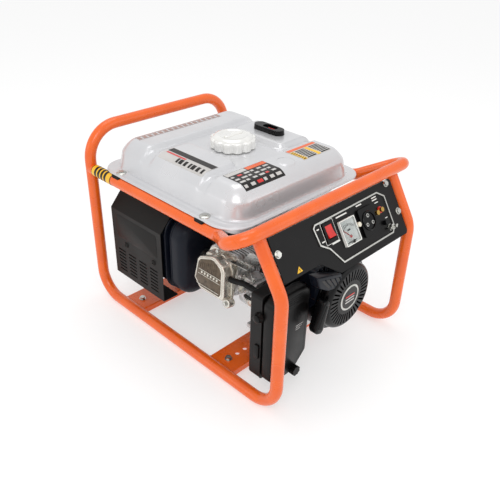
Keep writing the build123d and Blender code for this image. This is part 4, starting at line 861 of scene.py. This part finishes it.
# ------------------------------------------------------------------ panel
@dataclass
class PanelTrim:
    """Printing, dial, lens, socket face and small parts on the control panel."""

    rocker: tuple[float, float] = (-38.0, 70.0)
    meter: tuple[float, float] = (13.0, 53.0)
    socket: tuple[float, float] = (76.0, 53.0)

    def build(self) -> None:
        """Makes every trim piece of the panel."""
        self._dial()
        self._printing()
        self._socket()

    def _bar(
        self, u: float, v: float, wide: float, high: float, low: float, finish: Finish, turn: float = 0.0
    ) -> bpy.types.Object:
        """Thin raised bar on the panel.

        Args:
            u: centre across the panel in millimetres.
            v: centre up the panel.
            wide: width.
            high: height.
            low: distance off the panel.
            finish: its finish.
            turn: turn in the plane, in degrees.

        Returns:
            The bar.
        """
        c, s = math.cos(math.radians(turn)), math.sin(math.radians(turn))
        corners = [(wide / 2, high / 2), (-wide / 2, high / 2), (-wide / 2, -high / 2), (wide / 2, -high / 2)]
        points = [(u + a * c - b * s, v + a * s + b * c) for a, b in corners]
        return block(finish, PANEL, points, low, low + 0.25, 0.0)

    def _dial(self) -> None:
        """Voltmeter face with its scale and a clear lens."""
        u, v = self.meter
        marks = [block(WHITE, PANEL, rounded(42, 47, 1, (u, v)), 1.55, 1.9, 0.0)]
        for index in range(13):
            turn = 45 + index * 7.5
            c, s = math.cos(math.radians(turn)), math.sin(math.radians(turn))
            long = 5.0 if index % 3 == 0 else 3.0
            marks.append(self._bar(u + c * 24, v - 10 + s * 24, long, 0.6, 1.95, PRINT_AND_SHADE_BLACK, turn))
        for index in range(12):
            turn = 48.75 + index * 7.5
            c, s = math.cos(math.radians(turn)), math.sin(math.radians(turn))
            marks.append(self._bar(u + c * 21.4, v - 10 + s * 21.4, 2.9, 0.5, 1.95, PRINT_AND_SHADE_BLACK, turn + 90))
        marks.append(self._bar(u, v + 3, 8, 3, 1.95, PRINT_AND_SHADE_BLACK))
        marks.append(self._bar(u, v - 20, 26, 1.6, 1.95, PRINT_AND_SHADE_BLACK))
        merged(marks, "voltmeter_dial")
        lens = prism(PANEL, rounded(42.6, 47.6, 1.5, (u, v)), 5.0, 6.2, 0.3)
        finished(lens, "voltmeter_lens", LENS)
        screw = lathe(PANEL, [(0, 6.2), (3.4, 6.2), (3.4, 6.9), (2.2, 7.6), (0, 7.8)], (u, v - 21), 24)
        finished(screw, "voltmeter_screw", PRINT_AND_SHADE_BLACK)

    def _printing(self) -> None:
        """Plain white dashes where the words are, and a warning triangle."""
        spots = [
            (-66, 84, 7, 2.4), (-62, 58, 9, 2.4), (-30, 46, 24, 2.6), (8, 88, 34, 2.6), (66, 90, 18, 2.6),
            (118, 90, 16, 2.2), (118, 85, 16, 2.2), (121, 78, 12, 1.8), (136, 40, 8, 1.6),
        ]
        u, v = self.rocker
        spots += [(u, v + side * 22, 37, 0.9) for side in (1, -1)]
        spots += [(u + side * 18.2, v, 0.9, 44) for side in (-1, 1)]
        merged([self._bar(*spot, 0.05, WHITE) for spot in spots], "panel_printing")
        warn = [block(PRINT_YELLOW, PANEL, [(-152, 30), (-137, 30), (-143, 41)], 0.05, 0.35, 0.0)]
        warn.append(self._bar(-143.5, 34, 1.4, 5, 0.4, PRINT_AND_SHADE_BLACK))
        merged(warn, "panel_warning")

    def _socket(self) -> None:
        """Round-hole socket face, its rim and the terminals' collars; each hole is a flat black disc of
        painted shade.
        """
        u, v = self.socket
        rim = lathe(PANEL, [(17, 5.0), (20.5, 5.0), (20.5, 6.6), (19.5, 7.6), (17.6, 7.6), (17, 6.8)], (u, v))
        finished(rim, "socket_rim", GLOSS)
        for index, (a, b, r) in enumerate([(0, 11, 2.6), (-9, -6, 2.4), (9, -6, 2.4)]):
            eye = lathe(PANEL, [(r, 5.0), (r + 1.5, 5.0), (r + 1.4, 5.8), (r, 5.9)], (u + a, v + b), 24)
            finished(eye, f"socket_eye_{index}", ZINC)
            # Painted shade: a flat black disc stands in for the dark inside of each hole.
            hole = lathe(PANEL, [(0, 4.9), (r, 4.9), (r, 5.25), (0, 5.25)], (u + a, v + b), 24)
            finished(hole, f"socket_hole_shade_{index}", PRINT_AND_SHADE_BLACK)
        for index, (a, b) in enumerate([(108, 59), (124, 61)]):
            collar = lathe(PANEL, [(3.4, 0.1), (7.4, 0.1), (7.0, 2.2), (3.4, 2.4)], (a, b), 32)
            finished(collar, f"terminal_collar_{index}", RED if index else PRINT_AND_SHADE_BLACK)


# ------------------------------------------------------------------ engine
TILT = math.radians(12)
CYL_AXIS = (-math.cos(TILT), 0.0, math.sin(TILT))
CYL_UP = (math.sin(TILT), 0.0, math.cos(TILT))


def cylinder_plane(distance: float) -> Plane:
    """Plane across the cylinder.

    Args:
        distance: how far it is from the crankshaft, in millimetres.

    Returns:
        The plane, facing away from the crankshaft.
    """
    origin = (15 + CYL_AXIS[0] * distance, -73.0, 176 + CYL_AXIS[2] * distance)
    return Plane(origin, (0, -1, 0), CYL_UP)


@dataclass
class EngineTrim:
    """Valve cover detail, carburettor linkage and the small bright parts round it."""

    cover_at: float = 203.0
    bowl: tuple[float, float] = (-128.0, -154.0)
    outline: tuple[tuple[float, float], ...] = (
        (-20, -41), (47, -41), (51, -33), (42, 20), (34, 31),
        (12, 41), (2, 41), (-33, 28), (-39, 20), (-41, -24),
    )

    def _scaled(self, factor: float) -> list[tuple[float, float]]:
        """Cover outline grown or shrunk about its middle.

        Args:
            factor: the scale.

        Returns:
            The scaled points.
        """
        return [(2 + (u - 2) * factor, (v + 2) * factor - 2) for u, v in self.outline]

    def build(self) -> None:
        """Makes the engine's visible detail."""
        plane = cylinder_plane(self.cover_at)
        lid = block(COVER_ALLOY, plane, self.outline, -28, -3, 5.0, 5)
        skirt = block(COVER_ALLOY, plane, self._scaled(1.06), -31, -25, 1.5)
        rim = block(COVER_ALLOY, plane, self._scaled(0.9), -4, -1.8, 1.4, 3)
        face = block(COVER_FACE, plane, self._scaled(0.83), -3, -1.2, 0.6)
        lines = []
        for index in range(9):
            u = -26 + index * 5.6
            top = 17 + (u + 26) * 0.3
            points = [(u, 6), (u + 1.6, 6), (u + 1.6, top), (u, top)]
            lines.append(block(COVER_FACE, plane, points, -1.3, -0.5, 0.3))
        for low, high in ((-30, -28.8), (-8, -6.8), (1.6, 3.0)):
            points = [(-28, low), (38, low), (38, high), (-28, high)]
            lines.append(block(COVER_ALLOY, plane, points, -1.3, -0.4, 0.3))
        for index in range(6):
            u = -20 + index * 9
            points = [(u, -5), (u + 5, -5), (u + 5, 0), (u, 0)]
            lines.append(block(COVER_ALLOY, plane, points, -1.3, -0.5, 0.3))
        boss = block(COVER_ALLOY, plane, ring_points(10, 32, (52, -46)), -30, -12, 2.0, 3)
        merged([lid, skirt, rim, face, boss, *lines], "valve_cover_relief")
        for index, (u, v, out) in enumerate([(-2, 46, -24), (52, -46, -12.4), (-44, -34, -25)]):
            self._screw(plane, u, v, out, f"cover_screw_{index}", 4.6)
        self._linkage()

    def _screw(self, plane: Plane, u: float, v: float, out: float, name: str, radius: float) -> None:
        """Flanged hex screw head.

        Args:
            plane: the seat's plane.
            u: place along it in millimetres.
            v: place up it.
            out: seat's distance off the plane.
            name: the screw's name.
            radius: across-corner radius.
        """
        flange = [(0, out), (radius + 2, out), (radius + 1.8, out + 1.1), (0, out + 1.3)]
        washer = painted(lathe(plane, flange, (u, v), 32), ZINC)
        head = block(ZINC, plane, ring_points(radius, 6, (u, v)), out + 1.0, out + 5.0, 0.5)
        merged([washer, head], name)

    def _linkage(self) -> None:
        """Governor arm, springs, rods and brackets over the carburettor."""
        shelf = [(-148, -150), (-96, -150), (-92, -112), (-104, -96), (-150, -104)]
        finished(prism(level_plane(246), shelf, 0, 2.0, 0.5), "governor_bracket", ZINC)
        arm = [(112, 168), (124, 168), (132, 244), (120, 246)]
        finished(prism(side_plane(-118), arm, 0, 2.0, 0.4), "governor_arm", ZINC)
        rods = [
            wire([(-121, -126, 240), (-140, -150, 240), (-146, -168, 228)], 1.1),
            wire([(-121, -122, 232), (-136, -140, 236), (-146, -158, 214)], 1.0),
        ]
        merged([painted(rod, ZINC) for rod in rods], "governor_rods")
        turns, steps, spring_r = 12, 72, 3.2
        coil = []
        for index in range(steps + 1):
            t = index / steps
            turn = t * 2 * math.pi * turns
            coil.append((-134 + spring_r * math.cos(turn), -112 - 40 * t, 250.5 + spring_r * math.sin(turn)))
        finished(wire(coil, 0.7), "governor_spring", ZINC)
        bowl = [(0, -2), (6, -2), (15, 1), (17, 4), (17, 26), (0, 26)]
        finished(lathe(level_plane(160), bowl, self.bowl, 40), "float_bowl", COVER_ALLOY)
        drain = [(0, 0), (5, 0), (5, 8), (0, 8)]
        finished(lathe(level_plane(150), drain, self.bowl, 6), "bowl_drain", BRASS)
        for index, (y, z) in enumerate([(-140, 228), (-166, 232), (-150, 178), (-170, 184), (-134, 196)]):
            self._screw(side_plane(-145), -y, z, 0.0, f"carb_screw_{index}", 3.4)


@dataclass
class SilencerTrim:
    """Domed silencer drum, its seam, and the screws and backing of the heat shield."""

    middle: tuple[float, float] = (-130.0, 198.0)

    def build(self) -> None:
        """Makes the drum and the shield's details."""
        drum = prism(front_plane(256), rounded(98, 178, 40, self.middle, 10), 0, 192, 5, 3)
        dome = prism(front_plane(66), rounded(103, 184, 44, self.middle, 12), 0, 60, 24, 8)
        seam = prism(front_plane(66), rounded(108, 189, 46, self.middle, 12), 0, 4, 1.4, 3)
        ridge = prism(front_plane(48), rounded(104.6, 185.6, 44.8, self.middle, 12), 0, 3, 1.2, 3)
        silencer = merged([painted(p, HOT) for p in (drum, dome, seam, ridge)], "silencer_drum")
        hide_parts("muffler_body")
        face = side_plane(-191.4)
        backing = prism(face, rounded(170, 160, 4, (-159, 170)), -4.5, -2.5, 0.0)
        finished(backing, "shield_backing", SHIELD)
        head = [(0, 0), (7, 0), (6.6, 1.4), (4.4, 3.2), (2.4, 3.4), (2.0, 2.2), (0, 2.2)]
        for index, (y, z) in enumerate([(99, 170), (200, 172)]):
            finished(lathe(face, head, (-y, z), 32), f"shield_screw_{index}", SHIELD)
        rim = prism(face, rounded(150, 60, 8, (-159, 214)), -0.2, 0.5, 0.4)
        finished(rim, "shield_swage", SHIELD)
        pipe = lathe(front_plane(258), [(11, 12), (13, 12), (13, -16), (11, -16)], (-150, 148), 32)
        finished(pipe, "tail_pipe", STEEL)


@dataclass
class AirBoxTrim:
    """Moulded cover of the air box with its ribs, cut corner and hose stub."""

    def build(self) -> None:
        """Makes the cover and the details on it."""
        plane = front_plane(-232)
        outline = [
            (-188, 52), (-178, 42), (-120, 42), (-82, 80), (-82, 232), (-94, 244), (-176, 244), (-188, 232),
        ]
        cover = block(BLACK, plane, outline, 0.2, 30.8, 9.0, 5)
        inner = [(-174, 60), (-124, 60), (-96, 88), (-96, 206), (-104, 214), (-166, 214), (-174, 206)]
        face = block(BLACK, plane, inner, 29.0, 31.4, 1.5, 3)
        ribs = []
        for i in range(4):
            line = rounded(58 - i * 4, 1.6, 0.7, (-135, 234 - i * 5))
            ribs.append(block(BLACK, plane, line, 30.0, 31.4, 0.4))
        mark = []
        for i in range(3):
            line = rounded(22 - i * 4, 1.3, 0.5, (-112 - i * 2, 160 - i * 4.5))
            mark.append(block(PRINT_GREY, plane, line, 31.2, 31.6, 0.2))
        lid = merged([cover, face, *ribs, *mark], "air_box_lid")
        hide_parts("air_box_cover")
        seam = prism(plane, rounded(107.6, 203.6, 9, (-135.2, 143)), -2.2, 0.6, 1.0, 2)
        finished(seam, "air_box_seam", BLACK)
        side = side_plane(-188.5)
        stub = [(0, -3), (11, -3), (11, 2), (8.5, 5), (8.5, 10), (5, 12), (0, 12)]
        finished(lathe(side, stub, (226, 196), 32), "air_box_stub", BLACK)
        clip = prism(side, rounded(12, 34, 3, (222, 110)), -1, 3.0, 1.2, 3)
        finished(clip, "air_box_clip", BLACK)


@dataclass
class StarterTrim:
    """Badge and rim of the recoil cover, the inlet louvres, the pull grip and the rope."""

    axis: tuple[float, float] = (15.0, 176.0)
    pull: tuple[float, float, float] = (0.0, -math.cos(math.radians(20)), math.sin(math.radians(20)))
    grip: tuple[float, float, float] = (-78.0, -290.0, 186.0)
    rear_y: float = -262.0

    def build(self) -> None:
        """Makes the starter's visible detail."""
        self._badge()
        self._rim()
        self._louvres()
        self._pull_grip()
        self._rope()

    def _badge(self) -> None:
        """Round badge with plain bars."""
        plane = front_plane(-289)
        edge = [(25.5, -1), (30, -1), (30, 0.8), (28.6, 1.8), (26.4, 1.8), (25.5, 1.0)]
        finished(lathe(plane, edge, self.axis, 64), "badge_ring", ZINC)
        disc = lathe(plane, [(0, -1), (26, -1), (26, 0.6), (0, 1.2)], self.axis, 64)
        finished(disc, "badge_disc", PRINT_AND_SHADE_BLACK)
        bars = []
        for index, ink in enumerate((RED, PRINT_GREY, PRINT_GREY)):
            bar = rounded(30, 3.2, 1.2, (self.axis[0], self.axis[1] + 5 - index * 7))
            bars.append(block(ink, plane, bar, 0.9, 1.6, 0.3))
        merged(bars, "badge_bars")

    def _rim(self) -> None:
        """Rim of the recoil cover and its three screw ears."""
        plane = front_plane(self.rear_y)
        edge = [(74, 0), (79.5, 0), (79.5, 3.2), (78.4, 4.4), (74, 4.4)]
        finished(lathe(plane, edge, self.axis, 96), "recoil_rim", GLOSS)
        for index in range(3):
            turn = math.radians(90 + 120 * index)
            u, v = self.axis[0] + 77 * math.cos(turn), self.axis[1] + 77 * math.sin(turn)
            finished(prism(plane, ring_points(7, 24, (u, v)), 0, 4.8, 0.8, 2), f"recoil_ear_{index}", GLOSS)

    def _louvres(self) -> None:
        """Air inlet block with four slots, each a flat black plate of painted shade, and a lip beside each.
        """
        plane = front_plane(self.rear_y)
        outline = [(-98, 272), (-18, 248), (-8, 212), (-58, 224), (-86, 242)]
        duct = [block(SHROUD, plane, outline, 0, 24, 3, 4)]
        low, high = np.array([(-58, 228), (-14, 217)]), np.array([(-92, 266), (-24, 245)])
        for index in range(4):
            slot = []
            corners = ((low, high, 0.04), (low, high, 0.2), (high, low, 0.2), (high, low, 0.04))
            for edge, other, along in corners:
                t = along + 0.245 * index
                near, far = edge[0] + (edge[1] - edge[0]) * t, other[0] + (other[1] - other[0]) * t
                slot.append(tuple(near * 0.86 + far * 0.14))
            # Painted shade: a flat black plate stands in for the dark opening of each slot.
            duct.append(block(PRINT_AND_SHADE_BLACK, plane, slot, 23.4, 24.3, 0.0))
            (u0, v0), (u1, v1) = slot[0], slot[3]
            lip = [(u0 + 11.5, v0 - 3), (u1 + 11.5, v1 - 3), (u1 + 14, v1 - 3.6), (u0 + 14, v0 - 3.6)]
            duct.append(block(HOT, plane, lip, 23.4, 25.6, 0.6))
        merged(duct, "inlet_louvres")

    def _pull_grip(self) -> None:
        """Moulded pull grip with a rubber inlay."""
        plane = front_plane(-277)
        outline = [
            (-103, 156), (-98, 144), (-85, 139), (-77, 147), (-64, 204), (-68, 213), (-78, 214), (-83, 208),
        ]
        body = block(GLOSS, plane, outline, 0, 22, 6.5, 5)
        inlay = block(RUBBER, plane, [(-97, 158), (-85, 151), (-72, 202), (-77, 205)], 21.4, 22.8, 1.0, 3)
        grip = merged([body, inlay], "pull_grip", "grip")
        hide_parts("recoil_grip")

    def _rope(self) -> None:
        """Rope between the recoil cover and the grip."""
        direction, knot = Vector(self.pull), Vector(self.grip)
        start, end = knot - direction * 26, knot + direction * 4
        count = 60
        rope = wire([tuple(start + (end - start) * (i / count)) for i in range(count + 1)], 2.4)
        rope.name = "rope_run"
        rope.data.name = "rope_run"
        rope.data.materials.append(ROPE.build())
        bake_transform(rope)
        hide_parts("starter_rope")


@dataclass
class FrameTrim:
    """Weld beads and the rail's warning strip."""

    tube: float = 12.7
    label_rows: tuple[tuple[float, float], ...] = ((0, -14), (-22, -26), (-34, -38), (-46, -50), (-58, -68))

    def build(self) -> None:
        """Makes the frame's small detail."""
        for side in (-1, 1):
            for y in (-125, 181):
                for edge in (-34, 34):
                    run = [(side * x, y + edge, z) for x, z in ((193.4, 6), (192.4, 12.5), (194.4, 19))]
                    finished(wire(run, 2.0), f"weld_{side}_{y}_{edge}", ORANGE)
        rail = Plane((-205.0, 205, 340.5), (1, 0, 0), (0, 0, 1))
        skin = self.tube + 0.3
        strip = lathe(rail, [(self.tube, 2), (skin, 2), (skin, -70), (self.tube, -70)], (0, 0), 48)
        finished(strip, "rail_label", PRINT_AND_SHADE_BLACK)
        for index, (low, high) in enumerate(self.label_rows):
            points = [(skin - 0.1, low), (skin + 0.15, low), (skin + 0.15, high), (skin - 0.1, high)]
            band = lathe(rail, points, (0, 0), 48)
            finished(band, f"rail_label_band_{index}", PRINT_YELLOW)


# ------------------------------------------------------------------ stage
@dataclass
class Studio:
    """Plain pale floor, soft lights and the camera."""

    place: tuple[float, float, float] = (-870.5, -848.4, 901.8)
    yaw: float = 46.26
    pitch: float = 31.10
    roll: float = 1.69
    lens: float = 43.75

    def build(self) -> None:
        """Sets up floor, world, lights and camera."""
        clear_selection()
        bpy.ops.mesh.primitive_plane_add(size=80, location=(0, 0, -0.0005))
        floor = bpy.context.object
        floor.name = "floor"
        material = bpy.data.materials.new("floor_paper")
        material.use_nodes = True
        shader = material.node_tree.nodes["Principled BSDF"]
        shader.inputs["Base Color"].default_value = srgb("#C8C8C8")
        shader.inputs["Emission Color"].default_value = srgb("#FFFFFF")
        shader.inputs["Emission Strength"].default_value = 0.45
        shader.inputs["Roughness"].default_value = 0.9
        shader.inputs["Specular IOR Level"].default_value = 0.0
        floor.data.materials.append(material)
        world = bpy.data.worlds.new("studio")
        bpy.context.scene.world = world
        world.use_nodes = True
        world.node_tree.nodes["Background"].inputs["Color"].default_value = srgb("#FFFFFF")
        world.node_tree.nodes["Background"].inputs["Strength"].default_value = 0.85
        self._light("key", (-1.4, -1.2, 1.9), 1.2, 12)
        self._light("front", (0.9, -1.9, 1.1), 1.2, 3)
        self._light("top", (0.2, 0.4, 2.4), 1.4, 9)
        self._light("side", (-2.2, 0.9, 0.9), 1.0, 3)
        self._camera()

    def _light(self, name: str, place: tuple[float, float, float], size: float, power: float) -> None:
        """Adds a soft area light aimed at the object.

        Args:
            name: the light's name.
            place: its place in metres.
            size: its width in metres.
            power: its power in watts.
        """
        data = bpy.data.lights.new(name, "AREA")
        data.size = size
        data.energy = power
        light = bpy.data.objects.new(name, data)
        light.location = place
        aim = Vector((0, 0, 0.2)) - Vector(place)
        light.rotation_euler = aim.to_track_quat("-Z", "Y").to_euler()
        bpy.context.collection.objects.link(light)

    def _camera(self) -> None:
        """Adds the camera at the calibrated place."""
        yaw, pitch = math.radians(self.yaw), math.radians(self.pitch)
        look = Vector((math.sin(yaw) * math.cos(pitch), math.cos(yaw) * math.cos(pitch), -math.sin(pitch)))
        data = bpy.data.cameras.new("camera")
        data.lens = self.lens
        data.sensor_width = 36.0
        data.clip_start = 0.05
        data.clip_end = 50.0
        camera = bpy.data.objects.new("camera", data)
        camera.rotation_mode = "QUATERNION"
        camera.location = Vector(self.place) * MM
        turn = Quaternion((0, 0, 1), math.radians(self.roll))
        camera.rotation_quaternion = look.to_track_quat("-Z", "Y") @ turn
        bpy.context.collection.objects.link(camera)
        bpy.context.scene.camera = camera


def main() -> None:
    """Builds the whole picture."""
    logging.basicConfig(level=logging.INFO, format="%(name)s: %(message)s")
    dress_nodes()
    assemblies = (
        Tank(), FillerCap(), PanelTrim(), EngineTrim(), SilencerTrim(), AirBoxTrim(), StarterTrim(),
        FrameTrim(), Studio(),
    )
    for assembly in assemblies:
        assembly.build()
        LOG.info("built %s", type(assembly).__name__)
    scene = bpy.context.scene
    scene.view_settings.view_transform = "Standard"


if __name__ == "__main__":
    main()
